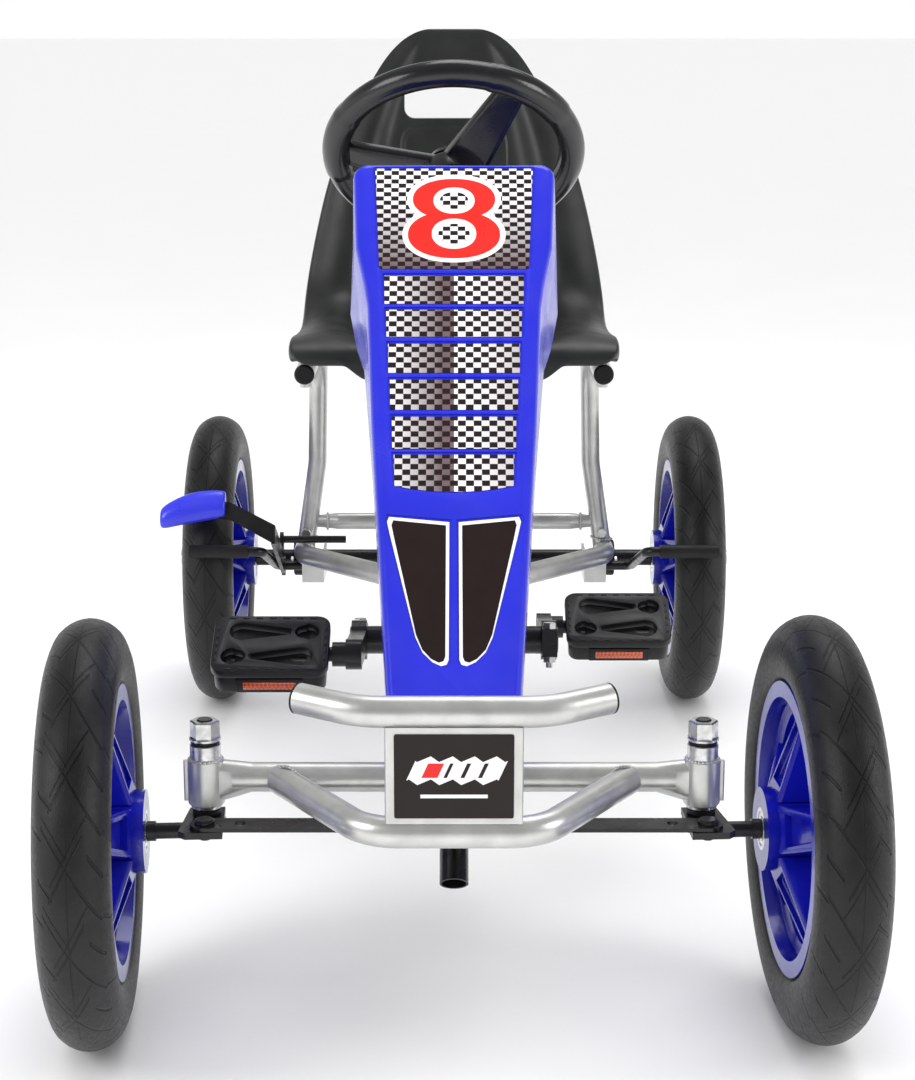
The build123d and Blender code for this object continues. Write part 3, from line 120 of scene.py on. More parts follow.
world = bpy.data.worlds.new("surround")
world.use_nodes = True
background = world.node_tree.nodes["Background"]
background.inputs["Color"].default_value = (1, 1, 1, 1)
# white by the horizon, darker overhead and behind the camera
direction = world.node_tree.nodes.new("ShaderNodeTexCoord").outputs["Generated"]
heading = node(world, "SeparateXYZ", Vector=direction).outputs
overhead = spread(world, heading["Z"], 0.05, 0.50, 1.0, 0.30)
behind = spread(world, heading["Y"], -0.85, -0.15, 0.45, 1.0)
world.node_tree.links.new(calc(world, "MULTIPLY", overhead, behind), background.inputs["Strength"])
bpy.context.scene.world = world
bpy.context.scene.view_settings.view_transform = "Standard"

# place, where it points, size in metres, watts, seen in reflections
LAMPS = {
    "left": ((-2.3, -1.5, 1.7), (0, 0, 0.4), 1.3, 30, True),
    "right": ((2.5, -1.0, 1.3), (0, 0, 0.4), 1.1, 20, True),
    "top": ((0.3, 0.9, 2.4), (0, 0, 0.3), 1.4, 16, True),
    "fill": ((0, -3.0, 2.6), (0, 0, 0.3), 2.0, 22, False),
}
for name, (place, aim, size, power, mirrored) in LAMPS.items():
    lamp_data = bpy.data.lights.new(name, "AREA")
    lamp_data.size = size
    lamp_data.energy = power
    lamp = bpy.data.objects.new(name, lamp_data)
    lamp.location = place
    lamp.rotation_euler = (Vector(aim) - Vector(place)).to_track_quat("-Z", "Y").to_euler()
    lamp.visible_glossy = mirrored
    bpy.context.collection.objects.link(lamp)
# the studio's white ceiling, as even light from above
ceiling_data = bpy.data.lights.new("ceiling", "SUN")
ceiling_data.energy = 2.4
ceiling_data.angle = radians(110)
ceiling = bpy.data.objects.new("ceiling", ceiling_data)
ceiling.visible_glossy = False
bpy.context.collection.objects.link(ceiling)

# ---- frame tubes --------------------------------------------------------------------
# Welded steel tube, blasted and powder coated in a satin silver with a fine metal flake.
# The tubes are the cut and bent lengths of the CAD model.


def blend_colour(finish, share, first, second):
    """Colour first where share is 0 and second where it is 1."""
    mixed = finish.node_tree.nodes.new("ShaderNodeMix")
    mixed.data_type = "RGBA"
    factor, one, other = (mixed.inputs[number] for number in (0, 6, 7))
    for socket, value in ((factor, share), (one, first), (other, second)):
        if isinstance(value, bpy.types.NodeSocket):
            finish.node_tree.links.new(value, socket)
        else:
            socket.default_value = value
    return mixed.outputs[2]


def emboss(finish, height, depth):
    """A height from 0 to 1 pressed into the surface, depth in metres."""
    bump = node(finish, "Bump", Height=height, Distance=depth, Strength=1.0)
    drive(finish, "Normal", bump.outputs[0])


def coating(name, first, second, tone, sheen, bump, patchy=False, **sockets):
    """A material with noise in its colour, its roughness and its surface.

    first and second: the colours it wavers between; tone: that noise's scale; sheen: noise scale and
    the two ends of the roughness; bump: noise scale, detail and depth; patchy: clearer spots of colour.
    """
    finish = material(name, **sockets)
    share = grain(finish, tone)
    if patchy:
        share = spread(finish, share, 0.35, 0.65, 0.0, 1.0)
    drive(finish, "Base Color", blend_colour(finish, share, (*first, 1), (*second, 1)))
    scale, low, high = sheen
    drive(finish, "Roughness", spread(finish, grain(finish, scale), 0.3, 0.7, low, high))
    scale, detail, depth = bump
    emboss(finish, grain(finish, scale, detail), depth)
    return finish


silver = coating("silver_powder_coat", (0.56, 0.56, 0.545), (0.65, 0.65, 0.635), tone=60.0,
                 sheen=(25.0, 0.28, 0.40), bump=(900.0, 2.0, 0.00008), patchy=True,
                 Metallic=0.75, Coat_Weight=0.25, Coat_Roughness=0.2)


def repaint(finish, *names):
    """Gives CAD nodes a finish."""
    for name in names:
        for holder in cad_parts[name].material_slots:
            holder.material = finish


repaint(silver, "front_crossbar", "lower_bumper", "upper_bumper", "main_beam", "rear_hoop", "seat_tube_left",
        "seat_tube_right", "rear_cross_brace", "column_stay", "column_bearings", "axle_brackets",
        "number_plate_box", "hood_brackets")

# ---- weld beads ---------------------------------------------------------------------
# Each joint of the frame has a bead of weld round it, laid by hand in small overlapping drops
# and coated with the tubes.
BEAD = 0.0018
DROP_PITCH = 0.003


def add_piece(name, shape, body, finish, sharp=radians(35)):
    """Turns a bmesh into a piece that rides on a body; edges under the sharp angle are smooth."""
    data = bpy.data.meshes.new(name)
    shape.to_mesh(data)
    shape.free()
    for face in data.polygons:
        face.use_smooth = True
    data.set_sharp_from_angle(angle=sharp)
    data.materials.append(finish)
    piece = bpy.data.objects.new(name, data)
    bpy.context.collection.objects.link(piece)
    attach(piece, body)
    return piece


def weld_ring(shape, centre, direction, radius):
    """A bead round an axis, in small drops."""
    turn = Vector(direction).normalized().to_track_quat("Z", "Y").to_matrix().to_4x4()
    drops = max(8, int(radius * 2 * pi / DROP_PITCH))
    for drop in range(drops):
        angle = 2 * pi * drop / drops
        spot = Vector((radius * cos(angle), radius * sin(angle), 0))
        lay = Matrix.Translation(centre) @ turn @ Matrix.Translation(spot) @ Matrix.Rotation(angle, 4, "Z")
        made = bmesh.ops.create_icosphere(shape, subdivisions=1, radius=BEAD)
        bmesh.ops.scale(shape, vec=(0.8, 1.5, 0.8), verts=made["verts"])
        bmesh.ops.transform(shape, matrix=lay, verts=made["verts"])


FRONT_Y = -0.4219
CROSSBAR_Z = 0.2
KINGPIN_X = 0.183
welds = bmesh.new()
for side in (-1, 1):
    # lower bumper on the crossbar, seat tube on the rear hoop, brace on the seat tube
    weld_ring(welds, (side * 0.1225, FRONT_Y - 0.0115, CROSSBAR_Z), (side * 0.45, -0.82, 0), 0.0118)
    weld_ring(welds, (side * 0.1628, 0.398, 0.1885), (side * 0.12, 0, 1), 0.0112)
    weld_ring(welds, (side * 0.1395, 0.3985, 0.207), (1, 0, 0), 0.0088)
    # the kingpin housing's top and foot
    weld_ring(welds, (side * KINGPIN_X, FRONT_Y, 0.2145), (0, 0, 1), 0.0117)
    weld_ring(welds, (side * KINGPIN_X, FRONT_Y, 0.1806), (0, 0, 1), 0.0117)
# the column stay on the main beam
weld_ring(welds, (0, -0.06, 0.2065), (0, 0, 1), 0.0116)
add_piece("weld_beads", welds, "frame", silver, radians(80))

# ---- zinc fasteners -----------------------------------------------------------------
# Bolts, nuts and washers are turned or cold-headed steel, zinc plated, with the cloudy bloom that
# plating leaves.
zinc = coating("zinc_plate", (0.60, 0.60, 0.58), (0.75, 0.75, 0.76), tone=220.0, sheen=(140.0, 0.22, 0.42),
               bump=(1500.0, 1.0, 0.00004), patchy=True, Metallic=1.0)
repaint(zinc, "frame_bolts", "seat_bolts", "crank_bolts", "kingpin_sleeves", "axle_nuts",
        "knuckle_nuts_left", "knuckle_nuts_right")

# ---- black steel parts --------------------------------------------------------------
# Column, tie rod, stub axles, crank, rear axle and hand brake are black enamelled steel, a little
# glossy, with the slight waviness of a dipped coat.
black_enamel = coating("black_enamel", (0.004, 0.004, 0.0045), (0.010, 0.010, 0.0105), tone=45.0,
                       sheen=(70.0, 0.22, 0.40), bump=(350.0, 3.0, 0.00012),
                       Specular_IOR_Level=0.4, Coat_Weight=0.1, Coat_Roughness=0.15)
repaint(black_enamel, "crank_arms", "crank_axle", "crank_housing", "rear_axle", "brake_rod",
        "brake_lever", "stub_axle_left", "stub_axle_right", "tie_rod", "tie_rod_bolts",
        "steering_column")

# ---- wheel bearings -----------------------------------------------------------------
# The wheel bearings are hardened steel, ground bright, and pressed into the hubs. The grinding
# leaves faint marks.
bright_steel = coating("drawn_steel", (0.62, 0.62, 0.62), (0.78, 0.78, 0.79), tone=90.0,
                       sheen=(60.0, 0.16, 0.3), bump=(800.0, 1.0, 0.00003), Metallic=1.0)
repaint(bright_steel, "wheel_bearings_front_left", "wheel_bearings_front_right",
        "wheel_bearings_rear_left")

# ---- moulded black fittings ---------------------------------------------------------
# Tube plugs, bushes, seals, bearing carriers and the chain guard are moulded black polypropylene
# with a fine spark-eroded grain. The brake's sleeves are rubber and have the same finish.
black_plastic = coating("black_polypropylene", (0.005, 0.005, 0.0055), (0.011, 0.011, 0.0115), tone=80.0,
                        sheen=(30.0, 0.42, 0.58), bump=(1400.0, 2.0, 0.0001), Specular_IOR_Level=0.3)
repaint(black_plastic, "tube_caps", "axle_bearings", "crank_bushes", "chain_guard",
        "kingpin_seals_left", "kingpin_seals_right", "brake_sleeves")

# ---- number plate -------------------------------------------------------------------
# A printed vinyl label on the tray between the bumpers: a dark ground with a plain jagged flash of
# slanting bars and a thin line below it.
PLATE_Z = 0.2411


def calc_on(finish):
    """calc, with its material filled in."""
    return lambda operation, *values: calc(finish, operation, *values)


plate_print = material("plate_print", Roughness=0.3, Specular_IOR_Level=0.3)
plate = calc_on(plate_print)
place = plate_print.node_tree.nodes.new("ShaderNodeTexCoord").outputs["Object"]
axes = node(plate_print, "SeparateXYZ", Vector=place).outputs
lift = plate("SUBTRACT", axes["Z"], PLATE_Z)
slanted = plate("SUBTRACT", axes["X"], plate("MULTIPLY", lift, 0.45))
edge = plate("MULTIPLY", plate("PINGPONG", slanted, 0.0075), 0.55)
raised = plate("ABSOLUTE", plate("SUBTRACT", lift, 0.0045))
flash = plate("MULTIPLY", plate("LESS_THAN", plate("SUBTRACT", raised, edge), 0.0062),
              plate("LESS_THAN", plate("ABSOLUTE", slanted), 0.0315))
inner = plate("LESS_THAN", raised, 0.0052)
red_bars = plate("MULTIPLY", inner, plate("COMPARE", slanted, -0.0165, 0.0055))
thin = plate("GREATER_THAN", plate("PINGPONG", slanted, 0.0060), 0.0046)
dark_bars = plate("MULTIPLY", plate("MULTIPLY", thin, inner), plate("COMPARE", slanted, 0.0100, 0.0170))
line = plate("MULTIPLY", plate("COMPARE", lift, -0.0140, 0.0013),
             plate("LESS_THAN", plate("ABSOLUTE", axes["X"]), 0.0230))
dark = blend_colour(plate_print, spread(plate_print, grain(plate_print, 40.0), 0.3, 0.7, 0.0, 1.0),
                    (0.008, 0.004, 0.004, 1), (0.012, 0.006, 0.006, 1))
printed = blend_colour(plate_print, plate("MAXIMUM", flash, line), dark, (0.85, 0.84, 0.85, 1))
printed = blend_colour(plate_print, red_bars, printed, (0.75, 0.02, 0.02, 1))
drive(plate_print, "Base Color", blend_colour(plate_print, dark_bars, printed, dark))
emboss(plate_print, grain(plate_print, 500.0, 2.0), 0.00003)
repaint(plate_print, "number_plate")

# ---- tyres --------------------------------------------------------------------------
# Pneumatic tyres, 12 1/2 x 2 1/4, moulded in black rubber. The tread has a thin centre line, long
# slanting grooves that cross in pairs, and short slashes by the shoulders.
WHEEL_RADIUS = 0.1585
AXLE_Z = 0.1585
REAR_Y = 0.4281
REAR_X = 0.262
SPINDLE = 0.085
REST_STEER = radians(3.2)
PITCHES = 16
TYRE_STEPS = 144
HALF_TREAD = 0.0270
TREAD_FROM = 0.132
SIDE_WALL = 1.2
NO_TREAD = 3.0
# radius and half width, from the bead to the shoulder
TYRE_PROFILE = ((0.1023, 0.0175), (0.1100, 0.0190), (0.1120, 0.0227), (0.1150, 0.0243), (0.1190, 0.0257),
                (0.1250, 0.0267), (0.1310, 0.0269), (0.1370, 0.0262), (0.1415, 0.0246), (0.1455, 0.0228),
                (0.1490, 0.0205), (0.1520, 0.0173), (0.1548, 0.0133), (0.1569, 0.0088), (0.1581, 0.0044))
# the beads' flats and a shallow inner wall
INNER_PROFILE = ((0.1030, -0.0120), (0.1300, -0.0200), (0.1520, 0.0), (0.1300, 0.0200), (0.1030, 0.0120))

rubber = material("tyre_rubber", Specular_IOR_Level=0.34)
tread = calc_on(rubber)
unrolled = node(rubber, "SeparateXYZ", Vector=node(rubber, "UVMap").outputs[0]).outputs
along, across = unrolled["X"], unrolled["Y"]


def groove(slope, offset, low, high, half_width):
    """1 along a slanting line of the unrolled tread, at every pitch. low and high end it across."""
    slanted = tread("ADD", along, tread("MULTIPLY", across, slope))
    phase = tread("FRACT", tread("ADD", slanted, offset))
    off_line = tread("ABSOLUTE", tread("SUBTRACT", phase, 0.5))
    middle = tread("ABSOLUTE", tread("SUBTRACT", across, (low + high) / 2))
    beyond = tread("MAXIMUM", tread("SUBTRACT", middle, (high - low) / 2), 0.0)
    reach = tread("SQRT", tread("ADD", tread("MULTIPLY", off_line, off_line),
                                tread("MULTIPLY", beyond, beyond)))
    return spread(rubber, reach, half_width * 0.6, half_width, 1.0, 0.0)


# slope, offset, where it starts and ends across the tread, half width; in pitches of the tread
GROOVES = ((0.75, 0.00, -0.78, 0.62, 0.030), (0.75, 0.13, 0.02, 0.60, 0.022),
           (-0.85, 0.05, -0.36, 0.44, 0.030), (-0.85, 0.19, -0.46, 0.40, 0.022),
           (0.70, 0.50, -0.82, -0.52, 0.034), (0.55, 0.48, 0.40, 0.70, 0.036),
           (0.70, 0.02, -0.98, -0.84, 0.034), (0.55, 0.00, 0.66, 0.86, 0.034))
pattern = spread(rubber, tread("ABSOLUTE", across), 0.006, 0.014, 0.7, 0.0)
for cut in GROOVES:
    pattern = tread("MAXIMUM", pattern, groove(*cut))
shoulder = tread("COMPARE", tread("ABSOLUTE", across), 0.93, 0.012)
pattern = tread("MAXIMUM", pattern, tread("MULTIPLY", shoulder, 0.6))
tread_noise = spread(rubber, grain(rubber, 50.0), 0.35, 0.65, 0.0, 1.0)
rubber_colour = blend_colour(rubber, tread_noise, (0.005, 0.0052, 0.005, 1), (0.009, 0.0093, 0.009, 1))
# the grooves, the centre line and the shoulder slashes are coloured near black: painted shade in the tread's
# recesses; the same mask also presses them in as bumps
drive(rubber, "Base Color", blend_colour(rubber, pattern, rubber_colour, (0.0005, 0.0005, 0.0005, 1)))
drive(rubber, "Roughness", spread(rubber, grain(rubber, 300.0), 0.3, 0.7, 0.34, 0.50))
height = tread("SUBTRACT", tread("MULTIPLY", grain(rubber, 1100.0, 2.0), 0.05), pattern)
emboss(rubber, height, 0.0058)


def wheel_frame(end, side):
    """Where a wheel goes: its own +X runs along the axle and away from the kart."""
    outward = 0 if side > 0 else pi
    if end == "rear":
        return Matrix.Translation((side * REAR_X, REAR_Y, AXLE_Z)) @ Matrix.Rotation(outward, 4, "Z")
    kingpin = Matrix.Translation((side * KINGPIN_X, FRONT_Y, AXLE_Z))
    return kingpin @ Matrix.Rotation(REST_STEER + outward, 4, "Z") @ Matrix.Translation((SPINDLE, 0, 0))


def turn_profile(shape, points, axis, steps):
    """Spins a profile of vertices, closed or open, round an axis through the origin."""
    bmesh.ops.spin(shape, geom=points, cent=(0, 0, 0), axis=axis, angle=2 * pi, steps=steps, use_merge=True)
    bmesh.ops.remove_doubles(shape, verts=shape.verts, dist=1e-6)


WHEELS = {("front", "left"): "front_wheel_left", ("front", "right"): "front_wheel_right",
          ("rear", "left"): "rear_wheel_left", ("rear", "right"): "rear_axle"}
SIDES = {"left": 1, "right": -1}
for (end, name), body in WHEELS.items():
    tyre = bmesh.new()
    outline = [*TYRE_PROFILE, (WHEEL_RADIUS, 0.0)]
    outline += [(r, -w) for r, w in TYRE_PROFILE[::-1]] + [*INNER_PROFILE]
    ring = [tyre.verts.new((w, 0, r)) for r, w in outline]
    edges = [tyre.edges.new((a, b)) for a, b in zip(ring, ring[1:] + ring[:1])]
    turn_profile(tyre, ring + edges, (1, 0, 0), TYRE_STEPS)
    bmesh.ops.recalc_face_normals(tyre, faces=tyre.faces)
    # the unrolled tread: pitches along it, and -1 to 1 across it
    uv = tyre.loops.layers.uv.new("tread")
    for face in tyre.faces:
        middle = face.calc_center_median()
        about = atan2(middle.y, middle.z)
        for corner in face.loops:
            here = corner.vert.co
            away = atan2(here.y, here.z) - about
            away = (away + pi) % (2 * pi) - pi
            inside = sqrt(here.y ** 2 + here.z ** 2) < 0.1531 - abs(here.x) * 0.8 and abs(here.x) < 0.021
            wall = SIDE_WALL if here.x > 0 else -SIDE_WALL
            edge = here.x / HALF_TREAD if here.length > TREAD_FROM else wall
            corner[uv].uv = ((about + away) / (2 * pi) * PITCHES, NO_TREAD if inside else edge)
    bmesh.ops.transform(tyre, matrix=wheel_frame(end, SIDES[name]), verts=tyre.verts)
    piece = add_piece(f"tyre_{end}_{name}_tread", tyre, body, rubber, radians(60))
    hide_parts(f"tyre_{end}_{name}")

# ---- rims ---------------------------------------------------------------------------
# One-piece moulded nylon wheels in deep gloss blue, five channelled spokes each, with faint flow
# marks from the mould.
rim_blue = coating("rim_nylon", (0.003, 0.004, 0.26), (0.006, 0.009, 0.36), tone=14.0,
                   sheen=(22.0, 0.10, 0.24), bump=(160.0, 2.0, 0.00012),
                   Coat_Weight=0.25, Coat_Roughness=0.06)
repaint(rim_blue, *[f"rim_{end}_{name}" for end, name in WHEELS])

# ---- steering wheel -----------------------------------------------------------------
# A moulded wheel in gloss black: a thick ring with three fatter hand grips, each ended by a step,
# and three broad spokes, channelled on the driver's side and the front.
COLUMN_TILT = radians(42.5)
column_up = Vector((0, sin(COLUMN_TILT), cos(COLUMN_TILT)))
column_front = Vector((0, -cos(COLUMN_TILT), sin(COLUMN_TILT)))
column_foot = Vector((0, -0.403, 0.108))
# takes (kart's left, forward from the column, up the column) to the kart's axes; it mirrors, so
# faces are turned round after it
column_space = Matrix.Translation(column_foot) @ Matrix(((1, 0, 0, 0), (0, column_front.y, column_up.y, 0),
                                                         (0, column_front.z, column_up.z, 0), (0, 0, 0, 1)))
WHEEL_ALONG = 0.689
RING_RADIUS = 0.1075
RING_THICK = 0.0128
RING_STEPS = 180
RING_RISE = 0.014
SLIM = 0.93
GRIP_ANGLES = (51, 171, 291)
GRIP_HALF = 21
SPOKE_ANGLES = (59, 179, 299)
SPOKE_RISE = radians(15.9)
SPOKE_DROP = -0.0145
# radius and height, from the cap's seat down to the column
HUB_PROFILE = ((0.0, -0.002), (0.020, -0.002), (0.0265, -0.0045), (0.030, -0.009), (0.031, -0.024),
               (0.0115, -0.024))
gloss_black = coating("gloss_black_abs", (0.006, 0.006, 0.007), (0.012, 0.012, 0.013), tone=60.0,
                      sheen=(40.0, 0.14, 0.30), bump=(420.0, 3.0, 0.00008),
                      Coat_Weight=0.15, Coat_Roughness=0.1)


def merge(shape, other):
    """Adds one bmesh to another and frees it."""
    spare = bpy.data.meshes.new("spare")
    other.to_mesh(spare)
    other.free()
    shape.from_mesh(spare)
    bpy.data.meshes.remove(spare)


def add_box(shape, size):
    """Adds a box to a bmesh, its middle at the origin, and returns its vertices."""
    verts = bmesh.ops.create_cube(shape, size=1.0)["verts"]
    bmesh.ops.scale(shape, vec=size, verts=verts)
    return verts


def round_off(shape, geom, offset, segments=2, affect="EDGES"):
    """Rounds edges, or the corners of a flat outline."""
    bmesh.ops.bevel(shape, geom=geom, offset=offset, segments=segments, profile=0.5, affect=affect,
                    material=-1)


wheel = bmesh.new()
bmesh.ops.create_circle(wheel, cap_ends=False, segments=24, radius=RING_THICK,
                        matrix=Matrix.Translation((RING_RADIUS, 0, 0)) @ Matrix.Rotation(pi / 2, 4, "X"))
turn_profile(wheel, wheel.verts[:] + wheel.edges[:], (0, 0, 1), RING_STEPS)
for vert in wheel.verts:
    angle = atan2(vert.co.y, vert.co.x)
    middle = Vector((cos(angle), sin(angle), 0)) * RING_RADIUS
    off_grip = min(abs((angle * 180 / pi - centre + 180) % 360 - 180) for centre in GRIP_ANGLES)
    slim = SLIM if off_grip > GRIP_HALF else 1.0
    vert.co = middle + (vert.co - middle) * slim
    vert.co.z += RING_RISE
for angle in SPOKE_ANGLES:
    spoke = bmesh.new()
    bmesh.ops.translate(spoke, vec=(0.060, 0, 0), verts=add_box(spoke, (0.084, 0.043, 0.009)))
    for vert in spoke.verts:
        if vert.co.x > 0.06:
            vert.co.y *= 0.60
    flats = [face for face in spoke.faces if abs(face.normal.z) > 0.9]
    bmesh.ops.inset_individual(spoke, faces=flats, thickness=0.0032, depth=-0.0026)
    round_off(spoke, spoke.edges[:], 0.0008)
    turn = Matrix.Rotation(radians(angle), 4, "Z")
    lie = turn @ Matrix.Translation((0, 0, SPOKE_DROP)) @ Matrix.Rotation(-SPOKE_RISE, 4, "Y")
    bmesh.ops.transform(spoke, matrix=lie, verts=spoke.verts)
    merge(wheel, spoke)
hub_ring = [wheel.verts.new((r, 0, z)) for r, z in HUB_PROFILE]
hub_edges = [wheel.edges.new((a, b)) for a, b in zip(hub_ring, hub_ring[1:])]
turn_profile(wheel, hub_ring + hub_edges, (0, 0, 1), 64)
bmesh.ops.transform(wheel, matrix=column_space @ Matrix.Translation((0, 0, WHEEL_ALONG)), verts=wheel.verts)
bmesh.ops.recalc_face_normals(wheel, faces=wheel.faces)
steering_wheel = add_piece("steering_wheel_moulding", wheel, "steering", gloss_black, radians(40))
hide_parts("steering_wheel")
repaint(gloss_black, "steering_hub_cap")

# ---- hood ---------------------------------------------------------------------------
# The front cowl is moulded in bright gloss blue, 2.5 mm thick and open at the back. Its face has
# shallow recesses for the printed panels, made here by cutting their outlines into the face.
HOOD_FACE = 0.112
HOOD_BEHIND = 0.004
HOOD_BACK = 0.012
HOOD_TOP = 0.602
HOOD_SHEET = 0.0025
RECESS = 0.0014
CLEAR = 0.004
# along the column, half width in front, half width behind
HOOD_SECTIONS = (
    (HOOD_TOP, 0.0855, 0.0895), (0.515, 0.0810, 0.0905), (0.478, 0.0735, 0.0840), (0.455, 0.0705, 0.0770),
    (0.345, 0.0655, 0.0675), (0.270, 0.0605, 0.0620), (0.104, 0.0500, 0.0510), (0.060, 0.0490, 0.0505))
hood_blue = coating("hood_blue", (0.010, 0.015, 0.52), (0.016, 0.023, 0.62), tone=9.0,
                    sheen=(30.0, 0.15, 0.28), bump=(120.0, 2.0, 0.0001), Coat_Weight=0.2, Coat_Roughness=0.08)


def cut_off(shape, point, normal):
    """Takes away what lies on the normal's side of a plane."""
    everything = shape.verts[:] + shape.edges[:] + shape.faces[:]
    bmesh.ops.bisect_plane(shape, geom=everything, plane_co=point, plane_no=normal, clear_outer=True)


hood = bmesh.new()
loops = []
for height, front, behind in HOOD_SECTIONS:
    corners = ((-front, HOOD_FACE), (front, HOOD_FACE), (behind, HOOD_BEHIND), (-behind, HOOD_BEHIND))
    loops.append([hood.verts.new((x, y, height)) for x, y in corners])
for upper, lower in zip(loops, loops[1:]):
    for i in range(4):
        j = (i + 1) % 4
        hood.faces.new((upper[i], lower[i], lower[j], upper[j]))
hood.faces.new(loops[0])
hood.faces.new(loops[-1][::-1])
bmesh.ops.recalc_face_normals(hood, faces=hood.faces)
# the skirt's foot is cut back over the crossbar, and the back is left open
cut_from, cut_to = Vector((0, HOOD_BACK, 0.150)), Vector((0, 0.088, 0.074))
slope = (cut_to - cut_from).normalized()
cut_off(hood, cut_from, (0, slope.z, -slope.y))
cut_off(hood, (0, HOOD_BACK, 0), (0, -1, 0))
top_sides = [e for e in hood.edges if all(abs(v.co.z - HOOD_TOP) < 1e-5 for v in e.verts)
             and abs(e.verts[0].co.x - e.verts[1].co.x) < 0.02]
round_off(hood, top_sides, 0.013, 6)
hood.normal_update()
rim_edges = [e for e in hood.edges if len(e.link_faces) == 2 and e.verts[0].co.z + e.verts[1].co.z > 0.125
             and sum(face.normal.y > 0.9 for face in e.link_faces) == 1]
round_off(hood, rim_edges, 0.0075, 5)
bmesh.ops.remove_doubles(hood, verts=hood.verts, dist=1e-5)
open_faces = [f for f in hood.faces if f.calc_center_median().z < 0.0601]
bmesh.ops.delete(hood, geom=open_faces, context="FACES")
bmesh.ops.dissolve_limit(hood, angle_limit=radians(0.5), verts=hood.verts, edges=hood.edges)
bmesh.ops.recalc_face_normals(hood, faces=hood.faces)
bmesh.ops.transform(hood, matrix=column_space, verts=hood.verts)
bmesh.ops.reverse_faces(hood, faces=hood.faces)
hood_shell = add_piece("hood_shell", hood, "frame", hood_blue, radians(30))
wall = hood_shell.modifiers.new("wall", "SOLIDIFY")
wall.thickness = HOOD_SHEET
wall.offset = -1


def carve(piece, cutters, soft=0.0005):
    """Cuts bmeshes out of a piece, softens its sharp edges and keeps the result as its mesh."""
    tool = bmesh.new()
    for cutter in cutters:
        merge(tool, cutter)
    tool_data = bpy.data.meshes.new("tool")
    tool.to_mesh(tool_data)
    tool.free()
    tool_piece = bpy.data.objects.new("tool", tool_data)
    bpy.context.collection.objects.link(tool_piece)
    cut = piece.modifiers.new("cut", "BOOLEAN")
    cut.object = tool_piece
    cut.operation = "DIFFERENCE"
    cut.solver = "EXACT"
    soften = piece.modifiers.new("soft_edges", "BEVEL")
    soften.width = soft
    soften.segments = 2
    soften.limit_method = "ANGLE"
    soften.angle_limit = radians(50)
    evaluated = piece.evaluated_get(bpy.context.evaluated_depsgraph_get())
    finished = bpy.data.meshes.new_from_object(evaluated)
    piece.modifiers.clear()
    piece.data = finished
    bpy.data.objects.remove(tool_piece)
    finished.set_sharp_from_angle(angle=radians(30))


def face_outline(points, radius=0.0):
    """A flat face on the hood's front from (x, along) points, corners rounded."""
    shape = bmesh.new()
    shape.faces.new([shape.verts.new((x, HOOD_FACE, along)) for x, along in points])
    if radius:
        round_off(shape, shape.verts[:], radius, 5, "VERTICES")
    return shape


def extrude(shape, by):
    """Gives a flat outline a body."""
    made = bmesh.ops.extrude_face_region(shape, geom=shape.faces[:])
    lifted = [v for v in made["geom"] if isinstance(v, bmesh.types.BMVert)]
    bmesh.ops.translate(shape, vec=by, verts=lifted)


def raise_plate(shape, low, high):
    """Gives the outline a body between two heights over the hood's face, and puts it on the hood."""
    bmesh.ops.translate(shape, vec=(0, low, 0), verts=shape.verts)
    extrude(shape, (0, high - low, 0))
    bmesh.ops.transform(shape, matrix=column_space, verts=shape.verts)
    bmesh.ops.recalc_face_normals(shape, faces=shape.faces)
    return shape


def trapezoid(top, bottom, half_top, half_bottom, grow=0.0):
    """(x, along) corners of a panel, larger all round by grow."""
    return [(-half_top - grow, top + grow), (half_top + grow, top + grow),
            (half_bottom + grow, bottom - grow), (-half_bottom - grow, bottom - grow)]


# top, bottom, half width at the top and the bottom
NUMBER_PANEL = (0.5952, 0.4912, 0.0665, 0.0615)
ROW_PANELS = ((0.4841, 0.4561, 0.0572, 0.0566), (0.4502, 0.4236, 0.0552, 0.0545),
              (0.4168, 0.3889, 0.0532, 0.0525), (0.3822, 0.3539, 0.0512, 0.0505),
              (0.3473, 0.3177, 0.0492, 0.0485), (0.3122, 0.2840, 0.0472, 0.0462))
LAST_ROW = len(ROW_PANELS) - 1
BOW = 0.0055
# the left vent's outline: x, along
VENT = ((0.0036, 0.2515), (0.0500, 0.2562), (0.0515, 0.2520), (0.0490, 0.2400), (0.0290, 0.1530),
        (0.0235, 0.1400), (0.0160, 0.1320), (0.0095, 0.1288), (0.0055, 0.1300), (0.0040, 0.1340))
GAP = 0.0019


def row_corners(number, grow=0.0):
    """A row's outline; the last one's lower edge is bowed downwards."""
    corners = trapezoid(*ROW_PANELS[number], grow=grow)
    if number < LAST_ROW:
        return corners
    (right, foot), (left, _) = corners[2:]
    low = [(right + (left - right) * t / 8, foot - BOW * (1 - (t / 4 - 1) ** 2)) for t in range(9)]
    return corners[:2] + low


def shrunk(points, step):
    """The vent's outline drawn in towards its middle, by about step."""
    xs, zs = zip(*points)
    middle_x = sum(xs) / len(xs)
    middle_z = (zs[0] + min(zs)) / 2
    by_x = 1 - 2 * step / (max(xs) - min(xs))
    by_z = 1 - 2 * step / (max(zs) - min(zs))
    return [(middle_x + (x - middle_x) * by_x, middle_z + (z - middle_z) * by_z) for x, z in points]


cutters = [raise_plate(face_outline(trapezoid(*NUMBER_PANEL, grow=GAP), 0.004), -RECESS, CLEAR)]
for i in range(len(ROW_PANELS)):
    outline = face_outline(row_corners(i, GAP), 0.0 if i == LAST_ROW else 0.0016)
    cutters.append(raise_plate(outline, -RECESS, CLEAR))
for side in (-1, 1):
    grown = shrunk([(side * x, z) for x, z in VENT], -GAP)
    cutters.append(raise_plate(face_outline(grown), -RECESS, CLEAR))
carve(hood_shell, cutters)
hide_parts("hood")

